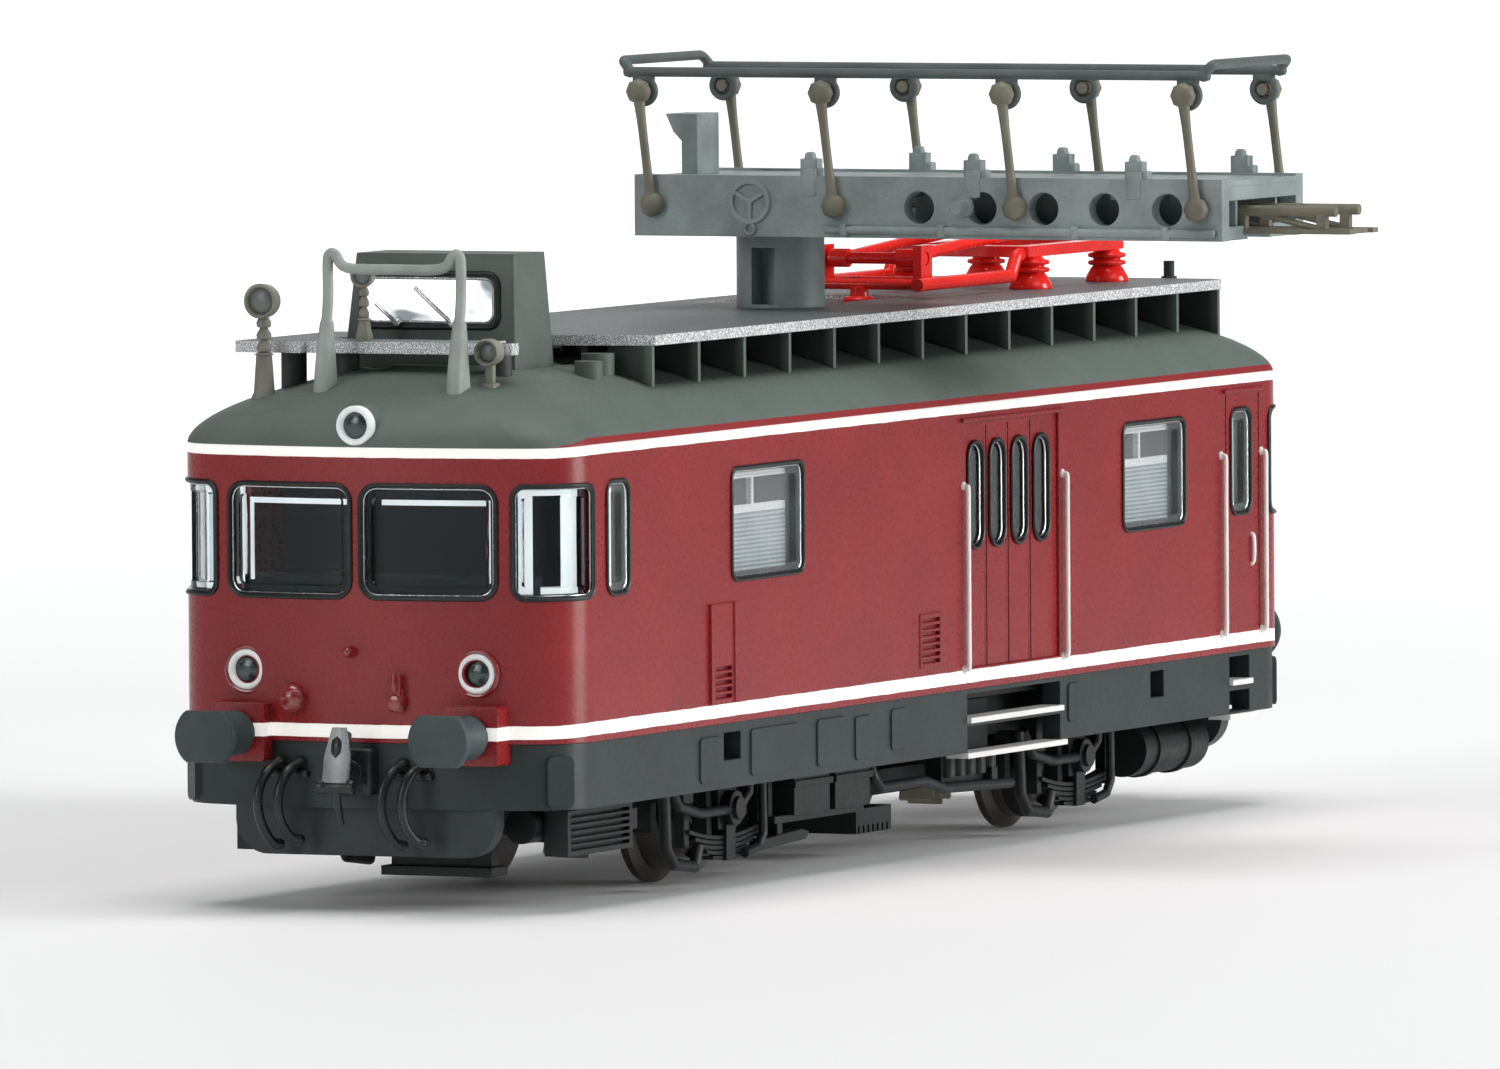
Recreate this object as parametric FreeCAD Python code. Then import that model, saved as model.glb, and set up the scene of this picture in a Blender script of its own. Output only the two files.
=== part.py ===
# Catenary-maintenance railcar, N gauge (1:160), millimetres, +Z up.
# Front cab faces -X, rail top is z = 0, the vehicle centre is x = 0.
import FreeCAD, Part
import math
import os

V = FreeCAD.Vector
os.makedirs("parts", exist_ok=True)

# ---- driving dimensions -------------------------------------------------
BODY_END = 39.95         # half length of the car body
END_DEPTH = 3.65         # from the corner centres out to the middle of the end
HALF_WIDTH = 9.37        # half width of the car body
CORNER_R = 2.8           # plan radius of the body corners
WALL = 1.0               # moulded wall thickness
SKIRT_Z = 3.9            # lower edge of the skirt
BODY_Z = 6.72            # lower edge of the painted body
CANT_Z = 19.22           # cantrail: body below, roof above
ROOF_RISE = 3.25         # height of the roof dome above the cantrail
WALK_Z = 23.0            # underside of the roof walkway
WALK_T = 0.45            # thickness of the walkway
WHEELBASE = 37.5
AXLE_Z = 2.8             # wheel tread radius
FLANGE_R = 3.3
AXLE_R = 0.75
BACK_TO_BACK = 7.4
TREAD_END = 5.9          # outer face of the wheels
GEAR_TEETH = 14
GEAR_MODULE = 0.3
WORM_PITCH_R = 1.3
SHAFT_R = 0.5
RUN = 0.04               # radial running clearance
MAST_X = 3.5
MAST_R = 1.95
DECK_Z = 26.7            # underside of the platform beams
BEAM_H = 2.7
DECK_HALF = 4.5          # half width of the platform
DECK_Y = (-23.2, 5.0)
POST_Y = (4.05, -4.75, -13.45, -22.1)
POST_PIVOT_Z = DECK_Z + BEAM_H - 1.3
POST_LEN = 5.0
POST_LEAN = math.radians(6.9)      # lean of the railing towards +Y as it stands
RAIL_LIFT = 0.85         # rail centre above the upper post pivot
BUFFER_Y = 5.47
BUFFER_Z = 7.06
BUFFER_FACE = 43.6

AXLE_X = WHEELBASE / 2.0
WORM_Z = AXLE_Z + GEAR_MODULE * GEAR_TEETH / 2.0 + WORM_PITCH_R
LEAD = math.pi * GEAR_MODULE
WALK_TOP = WALK_Z + WALK_T
X = V(1, 0, 0)
Y = V(0, 1, 0)
Z = V(0, 0, 1)


# ---- helpers ------------------------------------------------------------
def box(x0, x1, y0, y1, z0, z1):
    return Part.makeBox(x1 - x0, y1 - y0, z1 - z0, V(x0, y0, z0))


def cyl(r, p, q):
    p = V(*p)
    q = V(*q)
    return Part.makeCylinder(r, (q - p).Length, p, q - p)


def tube(ro, ri, p, q):
    return cyl(ro, p, q).cut(cyl(ri, p, q))


def union(shapes):
    shapes = list(shapes)
    if len(shapes) == 1:
        return shapes[0]
    return shapes[0].multiFuse(shapes[1:]).removeSplitter()


def bent_rod(points, r):
    """Round rod through the points, with ball corners."""
    bits = [cyl(r, a, b) for a, b in zip(points, points[1:])]
    bits += [Part.makeSphere(r, V(*p)) for p in points[1:-1]]
    return union(bits)


def prism(points, axis, lo, hi):
    """Polygon in the plane across axis ('x', 'y' or 'z'), extruded from lo to hi."""
    place = {"x": lambda a, b: V(lo, a, b), "y": lambda a, b: V(a, lo, b), "z": lambda a, b: V(a, b, lo)}[axis]
    way = {"x": X, "y": Y, "z": Z}[axis]
    pts = [place(a, b) for a, b in points]
    face = Part.Face(Part.makePolygon(pts + [pts[0]]))
    return face.extrude(way * (hi - lo))


def rounded(a0, a1, b0, b1, r, axis, lo, hi):
    """Rounded rectangle across axis, extruded from lo to hi."""
    if axis == "y":
        solid = box(a0, a1, lo, hi, b0, b1)
    elif axis == "x":
        solid = box(lo, hi, a0, a1, b0, b1)
    else:
        solid = box(a0, a1, b0, b1, lo, hi)
    way = {"x": X, "y": Y, "z": Z}[axis]
    edges = [e for e in solid.Edges if abs(e.tangentAt(e.FirstParameter).dot(way)) > 0.99]
    return solid.makeFillet(r, edges)


def mirror_y(shape):
    return shape.mirror(V(0, 0, 0), Y)


def mirror_x(shape):
    return shape.mirror(V(0, 0, 0), X)


def both_y(shape):
    return [shape, mirror_y(shape)]


def both_x(shape):
    return [shape, mirror_x(shape)]


def save(name, shapes):
    if not isinstance(shapes, (list, tuple)):
        shapes = [shapes]
    solids = []
    for shape in shapes:
        solids += shape.Solids
    out = solids[0] if len(solids) == 1 else Part.makeCompound(solids)
    out.exportStep("parts/%s.step" % name)


def plan_wire():
    """Body outline: straight sides, round corners, gently bowed ends."""
    cx = BODY_END - END_DEPTH
    cy = HALF_WIDTH - CORNER_R
    e = BODY_END - cx
    bow = (cy * cy + e * e - CORNER_R ** 2) / (2.0 * (e - CORNER_R))
    centre = BODY_END - bow
    k = bow / math.hypot(cx - centre, cy)
    tx = centre + (cx - centre) * k
    ty = cy * k
    mid = math.radians(45)
    mx = cx + CORNER_R * math.cos(mid)
    my = cy + CORNER_R * math.sin(mid)
    edges = []
    for sx in (1, -1):
        a = V(sx * cx, -sx * HALF_WIDTH, 0)
        b = V(sx * tx, -sx * ty, 0)
        c = V(sx * tx, sx * ty, 0)
        d = V(sx * cx, sx * HALF_WIDTH, 0)
        edges.append(Part.Arc(a, V(sx * mx, -sx * my, 0), b).toShape())
        edges.append(Part.Arc(b, V(sx * BODY_END, 0, 0), c).toShape())
        edges.append(Part.Arc(c, V(sx * mx, sx * my, 0), d).toShape())
        edges.append(Part.makeLine(d, V(-sx * cx, sx * HALF_WIDTH, 0)))
    return Part.Wire(Part.__sortEdges__(edges))


def plan_solid(inset, z0, z1):
    wire = plan_wire()
    if abs(inset) > 1e-6:
        wire = wire.makeOffset2D(-inset)
    face = Part.Face(wire)
    face.translate(V(0, 0, z0))
    return face.extrude(V(0, 0, z1 - z0))


def ring_wall(outer, inner, z0, z1):
    return plan_solid(outer, z0, z1).cut(plan_solid(inner, z0, z1))


def roof_ring(inset, radius, z):
    """Body outline moved in by inset, with its own corner radius, at height z."""
    cy = HALF_WIDTH - CORNER_R
    bow = (cy * cy + END_DEPTH ** 2 - CORNER_R ** 2) / (2.0 * (END_DEPTH - CORNER_R))
    centre = BODY_END - bow
    yc = HALF_WIDTH - inset - radius
    xc = centre + math.sqrt((bow - inset - radius) ** 2 - yc * yc)
    k = (bow - inset) / math.hypot(xc - centre, yc)
    tx = centre + (xc - centre) * k
    ty = yc * k
    h = radius / math.sqrt(2.0)
    edges = []
    for sx in (1, -1):
        a = V(sx * xc, -sx * (yc + radius), z)
        b = V(sx * tx, -sx * ty, z)
        c = V(sx * tx, sx * ty, z)
        d = V(sx * xc, sx * (yc + radius), z)
        edges.append(Part.Arc(a, V(sx * (xc + h), -sx * (yc + h), z), b).toShape())
        edges.append(Part.Arc(b, V(sx * (BODY_END - inset), 0, z), c).toShape())
        edges.append(Part.Arc(c, V(sx * (xc + h), sx * (yc + h), z), d).toShape())
        edges.append(Part.makeLine(d, V(-sx * xc, sx * (yc + radius), z)))
    return Part.Wire(edges)


def dome_height(d):
    """Height of the roof above the cantrail, d inside the body outline."""
    return ROOF_RISE * (1.0 - (1.0 - d / HALF_WIDTH) ** 2) ** 0.57


def roof_solid(t):
    """Roof dome with softly rounded hips, t inside the outer surface, from below the cantrail up."""
    rings = []
    for d in (0.0, 0.12, 0.35, 0.75, 1.3, 2.1, 3.1, 4.4, 5.8, 7.0):
        radius = min(CORNER_R - t + 0.9 * d, 0.85 * (HALF_WIDTH - d - t))
        rings.append(roof_ring(d + t, radius, CANT_Z + dome_height(d) - t * min(1.0, d / 0.75)))
    dome = Part.makeLoft(rings, True, False)
    return dome.fuse(plan_solid(t, CANT_Z - 1.5, CANT_Z)).removeSplitter()


# ---- openings of the body ----------------------------------------------
# side windows: x0, x1, z0, z1, corner radius
SIDE_WINDOWS = [(-22.3, -14.75, 12.75, 17.68, 0.6), (19.6, 26.7, 12.75, 17.68, 0.6)]
SLIT_WINDOWS = [(-34.95, -32.6, 12.8, 17.75, 0.7), (31.8, 34.2, 12.9, 17.8, 0.7)]
DOOR_WINDOWS = [(c - 0.88, c + 0.88, 12.85, 17.65, 0.84) for c in (3.65, 6.0, 8.4, 10.8)]
END_WINDOWS = [(0.16, 6.36, 12.78, 17.7, 0.8), (-6.36, -0.16, 12.78, 17.7, 0.8)]
DOOR = (2.45, 12.6, 7.65, 18.5)
LAMP_Y = 5.4
LAMP_Z = 9.7
SEAL = 0.17              # visible width of the rubber seals
RIM = 0.38               # width of the raised rim of the clear panes


def side_tool(window, shrink=0.0):
    x0, x1, z0, z1, r = window
    tool = rounded(x0 + shrink, x1 - shrink, z0 + shrink, z1 - shrink, max(0.15, r - shrink), "y", -11.5, -7.5)
    return both_y(tool)


def end_tool(window, shrink=0.0):
    y0, y1, z0, z1, r = window
    tool = rounded(y0 + shrink, y1 - shrink, z0 + shrink, z1 - shrink, max(0.15, r - shrink), "x", -42, -37)
    return both_x(tool)


def corner_tool(shrink=0.0):
    tool = rounded(-1.7 + shrink, 2.15 - shrink, 12.78 + shrink, 17.7 - shrink, max(0.15, 0.6 - shrink),
                   "x", 0.6, 4.5)
    tool.rotate(V(0, 0, 0), Z, 180 + 43)
    tool.translate(V(-(BODY_END - END_DEPTH), -(HALF_WIDTH - CORNER_R), 0))
    out = both_y(tool)
    return out + [mirror_x(t) for t in out]


def window_tools(shrink):
    tools = []
    for window in SIDE_WINDOWS + SLIT_WINDOWS:
        tools += side_tool(window, shrink)
    for window in END_WINDOWS:
        tools += end_tool(window, shrink)
    return tools + corner_tool(shrink)


# ---- body shell ---------------------------------------------------------
def lamp_holes():
    out = []
    for sx in (-1, 1):
        for sy in (-1, 1):
            out.append(cyl(0.55, (sx * 37, sy * LAMP_Y, LAMP_Z), (sx * 41, sy * LAMP_Y, LAMP_Z)))
    return out


def buffer_boxes():
    out = []
    for sx in (-1, 1):
        for sy in (-1, 1):
            x0, x1 = sorted((sx * 38.2, sx * 40.35))
            out.append(rounded(sy * BUFFER_Y - 1.3, sy * BUFFER_Y + 1.3, 5.85, 8.35, 0.15, "x", x0, x1))
    return out


boxes = [b.cut(plan_solid(WALL, 5, 9)) for b in buffer_boxes()]
shell = ring_wall(0, WALL, BODY_Z, CANT_Z)
shell = union([shell] + boxes)
shell = shell.cut(Part.makeCompound(window_tools(0.0)))
shell = shell.cut(Part.makeCompound(lamp_holes()))
door_opening = [box(DOOR[0], DOOR[1], -10, -8.0, DOOR[2], DOOR[3])]
door_opening.append(mirror_y(door_opening[0]))
shell = shell.cut(Part.makeCompound(door_opening))
# raised flap, drip strips, and pressed louvres low on the side walls
raised = []
for x0, x1, z0, z1, proud in ((-24.55, -22.0, 7.6, 11.9, 0.07), (-24.62, -24.45, 7.6, 11.9, 0.14),
                              (-22.2, -21.95, 7.6, 11.9, 0.14), (-2.6, -0.35, 7.9, 10.3, 0.05),
                              (1.95, 13.0, 18.5, 18.66, 0.16), (31.0, 35.35, 18.5, 18.66, 0.16)):
    raised += both_y(box(x0, x1, -HALF_WIDTH - proud, -9.0, z0, z1))
shell = union([shell] + raised)
slots = []
for x0, x1, z0, z1, count in ((-24.1, -22.4, 7.75, 9.25, 5), (-2.45, -0.5, 8.05, 10.15, 7)):
    for k in range(count):
        zc = z0 + (z1 - z0) * (k + 0.5) / count
        slots += both_y(box(x0, x1, -9.6, -9.24, zc - 0.09, zc + 0.09))
for x in (31.35, 35.1):
    slots += both_y(box(x - 0.06, x + 0.06, -9.6, -9.27, 7.65, 18.4))
shell = shell.cut(Part.makeCompound(slots))
# small front fittings: socket, whistle and lamp bracket
fittings = []
for sx in (-1, 1):
    a = cyl(0.6, (sx * 38, -sx * 3.0, 8.55), (sx * 40.2, -sx * 3.0, 8.55))
    b = rounded(-0.28, 0.28, 8.2, 9.65, 0.15, "x", *sorted((sx * 38, sx * 40.3)))
    b.translate(V(0, sx * 1.95, 0))
    c = cyl(0.24, (sx * 38, -sx * 0.23, 10.57), (sx * 40.25, -sx * 0.23, 10.57))
    fittings += [s.cut(plan_solid(WALL / 2.0, 8, 11)) for s in (a, b, c)]
shell = union([shell] + fittings)
save("body_shell", shell)

# folding doors: leaf with four windows, fold seams
door = box(DOOR[0], DOOR[1], -9.25, -8.75, DOOR[2], DOOR[3])
for window in DOOR_WINDOWS:
    door = door.cut(side_tool(window)[0])
for seam in (4.82, 7.2, 9.6):
    door = door.cut(box(seam - 0.16, seam + 0.16, -9.3, -9.17, DOOR[2], 18.3))
    bead = cyl(0.08, (seam, -9.17, DOOR[2]), (seam, -9.17, 18.3))
    door = union([door, bead])
save("folding_doors", both_y(door))

# rubber seals and clear panes share faces with the openings they fill
seal_band = ring_wall(-0.06, 0.75, 12.5, 18.2)
seals = []
for big, small in zip(window_tools(0.0), window_tools(SEAL)):
    seals.append(big.cut(small).common(seal_band))
door_band = box(0, 15, -9.31, -8.75, 12, 18.4)
for window in DOOR_WINDOWS:
    seals += both_y(side_tool(window)[0].cut(side_tool(window, 0.16)[0]).common(door_band))

# each pane is thick clear moulding: a raised rim round a recessed field
pane_band = ring_wall(0.1, 0.7, 12.5, 18.2)
recess_band = ring_wall(-0.4, 0.42, 12.5, 18.2)


def panes(blocks, fields):
    return [a.common(pane_band).cut(b.common(recess_band)) for a, b in zip(blocks, fields)]


side_panes = []
for window in SIDE_WINDOWS + SLIT_WINDOWS:
    side_panes += panes(side_tool(window, SEAL), side_tool(window, SEAL + RIM))
door_pane_band = box(0, 15, -9.05, -8.8, 12, 18.4)
for window in DOOR_WINDOWS:
    side_panes += both_y(side_tool(window, 0.16)[0].common(door_pane_band))
save("side_glazing", side_panes)
end_panes = []
for window in END_WINDOWS:
    end_panes += panes(end_tool(window, SEAL), end_tool(window, SEAL + RIM))
end_panes += panes(corner_tool(SEAL), corner_tool(SEAL + RIM))

# white sash frames and roller blinds right behind the side panes
sashes = []
blind_band = ring_wall(0.7, 0.95, 12.5, 18.2)
for window in SIDE_WINDOWS:
    x0, x1, z0, z1, r = window
    mid = (x0 + x1) / 2.0
    light_z = z1 - 1.75
    frame_bar = box(x0 + 0.4, x1 - 0.4, -9, -8, light_z - 0.3, light_z)
    upright = box(mid - 0.12, mid + 0.12, -9, -8, light_z, z1 - 0.4)
    head = box(x0 + 0.4, x1 - 0.4, -9, -8, z1 - 0.6, z1 - 0.35)
    blind = box(x0 + 0.4, x1 - 0.4, -9, -8, z0 + 0.35, light_z - 0.3)
    sash = union([frame_bar, upright, head, blind]).common(blind_band)
    sashes += both_y(sash)
save("window_blinds", sashes)

# ---- skirt --------------------------------------------------------------
skirt = ring_wall(0.12, 1.0, SKIRT_Z, BODY_Z)
near_cuts = [box(2.75, 12.9, -10, -8, 5.2, 6.5), box(2.75, 12.9, -10, -8, 3.8, 5.05),
             box(-22.9, -21.15, -10, -8, 5.1, 6.3), box(22.95, 24.45, -10, -8, 5.15, 6.35),
             box(31.9, 34.2, -10, -8, 5.2, 6.5), box(31.9, 34.2, -10, -8, 4.0, 4.95)]
for piece in list(near_cuts):
    near_cuts.append(mirror_y(piece))
coupler_gap = box(37, 41, -2.6, 2.6, 4.2, 6.1)
# shallow hatch plates along the skirt and a pad on each corner
plates = []
for x0, x1, z0, z1 in ((-25.4, -23.3, 4.25, 6.2), (-20.2, -15.2, 4.3, 6.3), (-13.3, -10.3, 4.25, 6.3),
                       (-9.3, -7.6, 4.3, 6.2), (-5.5, -3.8, 4.5, 6.3), (13.7, 14.9, 4.6, 6.35)):
    plates += both_y(rounded(x0, x1, z0, z1, 0.25, "y", -9.33, -9.0))
pads = []
for turn in (180 + 49, 180 - 49, 49, -49):
    pad = rounded(-0.62, 0.62, 4.0, 6.2, 0.3, "x", 2.2, 2.83)
    pad.rotate(V(0, 0, 0), Z, turn)
    sx = -1 if abs(turn - 180) < 90 else 1
    sy = 1 if math.sin(math.radians(turn)) > 0 else -1
    pad.translate(V(sx * (BODY_END - END_DEPTH), sy * (HALF_WIDTH - CORNER_R), 0))
    pads.append(pad)
skirt = union([skirt] + plates + pads)
skirt = skirt.cut(Part.makeCompound(near_cuts + buffer_boxes() + [coupler_gap]))
# lower valance under each buffer beam
valance = rounded(-6.1, 6.1, 1.85, 6.0, 1.5, "x", -39.15, -38.3)
valance = valance.common(box(-40, -30, -10, 10, 0, SKIRT_Z))
skirt = union([skirt] + both_x(valance)).cut(coupler_gap)
save("skirt", skirt)

# door steps: treads with pale edges, set in the skirt openings
steps = []
for x0, x1, z in ((2.75, 12.9, 5.2), (2.4, 13.25, SKIRT_Z - 0.24), (31.9, 34.2, 5.2), (31.55, 34.55, SKIRT_Z - 0.24)):
    steps += both_y(box(x0, x1, -9.45, -8.37, z, z + 0.24))
save("door_steps", steps)

# ---- roof, walkway and roof fittings ------------------------------------
roof_outer = roof_solid(0.0)
roof = roof_outer.cut(roof_solid(0.9)).cut(box(-45, 45, -15, 15, 0, CANT_Z))
roof = roof.cut(cyl(2.7, (MAST_X, 0, 18), (MAST_X, 0, 24)))
roof_lamp_hole = cyl(0.5, (-41, 0, 20.15), (-37.5, 0, 20.15))
roof = roof.cut(roof_lamp_hole)
ROOF_FILL = roof_outer.cut(box(-45, 45, -15, 15, 0, 15))

walk_main = prism([(-26, -3.6), (-25.2, -7.2), (36, -7.2), (36.6, -6.6), (36.6, 6.6), (36, 7.2),
                   (-25.2, 7.2), (-26, 4.6)], "z", WALK_Z, WALK_TOP)
tongue = box(-35.0, -25.5, 4.9, 8.0, 22.95, 22.95 + 0.5)
front_step = union([box(-34.6, -33.9, -4.85, 5.0, 22.95, 22.95 + 0.5),
                    box(-34.0, -31.9, -3.3, 5.0, 22.95, 22.95 + 0.5)])
recess = box(6.5, 15.5, -1.0, 5.6, WALK_TOP - 0.2, WALK_TOP + 1)
walk = union([walk_main, tongue, front_step]).cut(cyl(MAST_R + 0.05, (MAST_X, 0, 20), (MAST_X, 0, 26)))
walk = walk.cut(recess)
save("roof_walkway", walk)

# upright brackets between the dome and the walkway
brackets = []
for k in range(14):
    x = -25.2 + 4.7 * k
    for sy in (-1, 1):
        y0, y1 = sorted((sy * 5.0, sy * 7.1))
        brackets.append(box(x - 0.13, x + 0.13, y0, y1, 20.5, WALK_Z).cut(ROOF_FILL))
for x, y in ((-33.4, 6.0), (-29.5, 6.0), (-33.2, -3.6), (-33.2, 3.6)):
    brackets.append(cyl(0.55, (x, y, 20.5), (x, y, 22.95)).cut(ROOF_FILL))
for x in (-18, -4, 10, 24):
    brackets.append(cyl(0.6, (x, 0, 21), (x, 0, WALK_Z)).cut(ROOF_FILL))
save("walkway_brackets", brackets)

# observation cupola: hollow, tapered, with a front window
def taper(inset, z0, z1):
    low = [(-31.1 + inset, -3.35 + inset), (-27.0 - inset, -3.35 + inset), (-27.0 - inset, 4.9 - inset),
           (-31.1 + inset, 4.9 - inset)]
    top = [(-31.1 + inset, -3.3 + inset), (-28.0 - inset, -3.3 + inset), (-28.0 - inset, 4.1 - inset),
           (-31.1 + inset, 4.1 - inset)]
    a = [V(p[0], p[1], z0) for p in low]
    b = [V(p[0], p[1], z1) for p in top]
    return Part.makeLoft([Part.makePolygon(a + [a[0]]), Part.makePolygon(b + [b[0]])], True, True)


CUPOLA_TOP = 27.1
cupola_window = (-2.6, 4.1, 23.95, 26.25, 0.5)


def cupola_tool(shrink):
    y0, y1, z0, z1, r = cupola_window
    y1 = y1 - 0.25
    return rounded(y0 + shrink, y1 - shrink, z0 + shrink, z1 - shrink, r - shrink * 0.5, "x", -32, -30.2)


cupola = taper(0, 21.0, CUPOLA_TOP)
cupola = cupola.cut(taper(0.6, 20.9, CUPOLA_TOP - 0.6)).cut(ROOF_FILL).cut(cupola_tool(0))
save("cupola_shell", cupola)
cupola_seal = cupola_tool(0).cut(cupola_tool(0.25)).common(box(-31.18, -30.5, -5, 6, 22, 27))
seals.append(cupola_seal)
save("window_seals", seals)
end_panes.append(cupola_tool(0.25).common(box(-30.95, -30.6, -5, 6, 22, 27)))
save("cab_glazing", end_panes)

# guard hoop over the front step
HOOP_X = -36.0
hoop = []
for y in (3.1, -3.15):
    foot = Part.makeCone(0.5, 0.36, 3.3, V(HOOP_X, y, 20.6), Z)
    hoop.append(foot.cut(ROOF_FILL))
hoop_bar = bent_rod([(HOOP_X, 3.1, 23.9), (HOOP_X, 3.1, 27.35), (HOOP_X, 2.45, 26.75), (HOOP_X, 1.9, 26.6),
                     (HOOP_X, -1.9, 26.6), (HOOP_X, -2.5, 26.75), (HOOP_X, -3.15, 27.35),
                     (HOOP_X, -3.15, 23.9)], 0.27)
save("roof_hoop", union(hoop + [hoop_bar]))


def searchlight(x, y, zbase, ztop, r):
    """Insulated stand with a drum lamp facing forward."""
    cone = Part.makeCone(0.62, 0.36, 2.0, V(x, y, zbase), Z)
    stem = cyl(0.22, (x, y, zbase + 1.9), (x, y, ztop - r + 0.1))
    rings = [cyl(0.4, (x, y, zbase + 2.1 + 0.35 * k), (x, y, zbase + 2.25 + 0.35 * k)) for k in range(3)]
    drum = cyl(r, (x - 0.55, y, ztop), (x + 0.55, y, ztop))
    drum = drum.cut(cyl(r - 0.2, (x - 0.8, y, ztop), (x - 0.2, y, ztop)))
    return union([cone, stem, drum] + rings)


lights = [searchlight(-35.9, 6.2, 20.6, 25.2, 0.95).cut(ROOF_FILL),
          searchlight(-33.0, 2.85, 22.95 + 0.5, 26.15, 0.6)]
post = box(-35.4, -34.6, -4.6, -3.9, 20.6, 21.9).cut(ROOF_FILL)
arm = box(-35.15, -34.85, -4.4, -4.1, 21.9, 23.3)
spot = cyl(0.72, (-35.6, -4.05, 23.1), (-34.5, -4.05, 23.1))
spot = spot.cut(cyl(0.52, (-36, -4.05, 23.1), (-35.2, -4.05, 23.1)))
front_stub = box(-34.6, -34.4, -4.4, -3.7, 22.95, 23.3)
lights.append(union([post, arm, spot]).cut(front_stub).cut(walk))
save("searchlights", lights)

vents = []
for x, y, r, z in ((-26.2, -4.95, 0.72, 22.7), (-28.1, -5.4, 0.6, 22.45), (-24.0, 5.6, 0.6, 22.6)):
    vents.append(cyl(r, (x, y, 20.4), (x, y, z)).cut(ROOF_FILL))
whistle = cyl(0.25, (37.6, -3.9, 21), (37.6, -3.9, 24.2)).cut(ROOF_FILL)
whistle = union([whistle, cyl(0.36, (37.6, -3.9, 23.2), (37.6, -3.9, 23.5))])
save("roof_shell", [union([roof] + vents + [whistle])])

# lamps: bright rings and lenses
rings = []
lenses = []
inner_line = plan_solid(0.0, 5, 24)
for sx in (-1, 1):
    for sy in (-1, 1):
        a = (sx * 37.5, sy * LAMP_Y, LAMP_Z)
        b = (sx * 39.8, sy * LAMP_Y, LAMP_Z)
        rings.append(tube(0.84, 0.55, a, b).cut(inner_line))
        lenses.append(cyl(0.55, (sx * 38.6, sy * LAMP_Y, LAMP_Z), (sx * 39.15, sy * LAMP_Y, LAMP_Z)))
rings.append(tube(0.8, 0.5, (-39.85, 0, 20.15), (-37.6, 0, 20.15)).cut(ROOF_FILL))
lenses.append(cyl(0.5, (-39.3, 0, 20.15), (-38.4, 0, 20.15)))
save("lamp_rings", rings)

# handrails beside the doors
rails = []
for x, z0, z1 in ((2.15, 7.6, 15.7), (12.95, 7.6, 15.75), (30.75, 7.6, 15.7), (35.35, 7.6, 15.7)):
    rail = bent_rod([(x, -9.3, z1), (x, -9.6, z1), (x, -9.6, z0), (x, -9.3, z0)], 0.11)
    rail = rail.cut(inner_line)
    rails += both_y(rail)
save("handrails", rails)

# ---- buffers, hook and hoses --------------------------------------------
def buffer(sx, sy):
    y = sy * BUFFER_Y
    sleeve = cyl(0.85, (sx * 40.35, y, BUFFER_Z), (sx * 42.3, y, BUFFER_Z))
    flange = rounded(y - 1.0, y + 1.0, BUFFER_Z - 0.95, BUFFER_Z + 0.95, 0.3, "x",
                     *sorted((sx * 40.35, sx * 40.65)))
    shank = cyl(0.6, (sx * 42.2, y, BUFFER_Z), (sx * 43.0, y, BUFFER_Z))
    head = cyl(1.42, (sx * 42.95, y, BUFFER_Z), (sx * BUFFER_FACE, y, BUFFER_Z))
    trim = box(*sorted((sx * 42.5, sx * 44)), y - 2, y + 2, BUFFER_Z - 1.1, BUFFER_Z + 1.1)
    return union([sleeve, flange, shank, head.common(trim)])


save("buffers", [buffer(sx, sy) for sx in (-1, 1) for sy in (-1, 1)])

skirt_line = plan_solid(0.12, 3, 8)
for_hook = [box(-40.35, -39.0, -0.9, 0.9, 4.6, 6.4).cut(skirt_line)]
hook = bent_rod([(-40.2, 0, 5.6), (-41.0, 0, 5.7), (-41.5, 0, 6.4), (-41.35, 0, 7.2)], 0.4)
link = prism([(-41.7, 7.4), (-41.35, 7.4), (-41.85, 4.75), (-42.25, 4.75)], "y", -0.42, 0.42)
spindle = cyl(0.26, (-42.0, -0.75, 4.95), (-42.0, 0.75, 4.95))
tail = bent_rod([(-42.0, 0, 4.9), (-41.8, 0, 4.0), (-41.5, 0, 3.3)], 0.16)
save("screw_coupling", union(for_hook + [hook, link, spindle, tail]))

hoses = []
for y, drop in ((3.7, 2.3), (2.75, 2.5), (-2.1, 2.35), (-3.05, 2.5)):
    pts = [(-39.2, y, 5.7), (-40.0, y, 5.8), (-40.7, y + 0.2, 5.4), (-41.1, y + 0.4, 4.5),
           (-41.0, y + 0.35, 3.4), (-40.4, y + 0.1, drop + 0.1), (-39.95, y - 0.15, drop)]
    hose = union([bent_rod(pts, 0.24), cyl(0.32, (-40.0, y, 5.72), (-39.2, y, 5.6))])
    hoses.append(hose.cut(plan_solid(0.12, 0, 9)))
save("brake_hoses", hoses)

# ---- chassis and drive --------------------------------------------------
CAN_R = 3.5
WORM_X = (AXLE_X - 2.55, AXLE_X + 2.55)


def worm_ways(x_sign):
    """Cavities round one worm, its gear and its axle."""
    xc = x_sign * AXLE_X
    cavity = cyl(1.85, (xc - 2.85, 0, WORM_Z), (xc + 2.85, 0, WORM_Z))
    above = box(xc - 2.85, xc + 2.85, -1.85, 1.85, WORM_Z, 12)
    gear_pocket = box(xc - 2.65, xc + 2.65, -1.2, 1.2, 0, WORM_Z)
    bore = cyl(AXLE_R + RUN, (xc, -12, AXLE_Z), (xc, 12, AXLE_Z))
    return [cavity, above, gear_pocket, bore]


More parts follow.
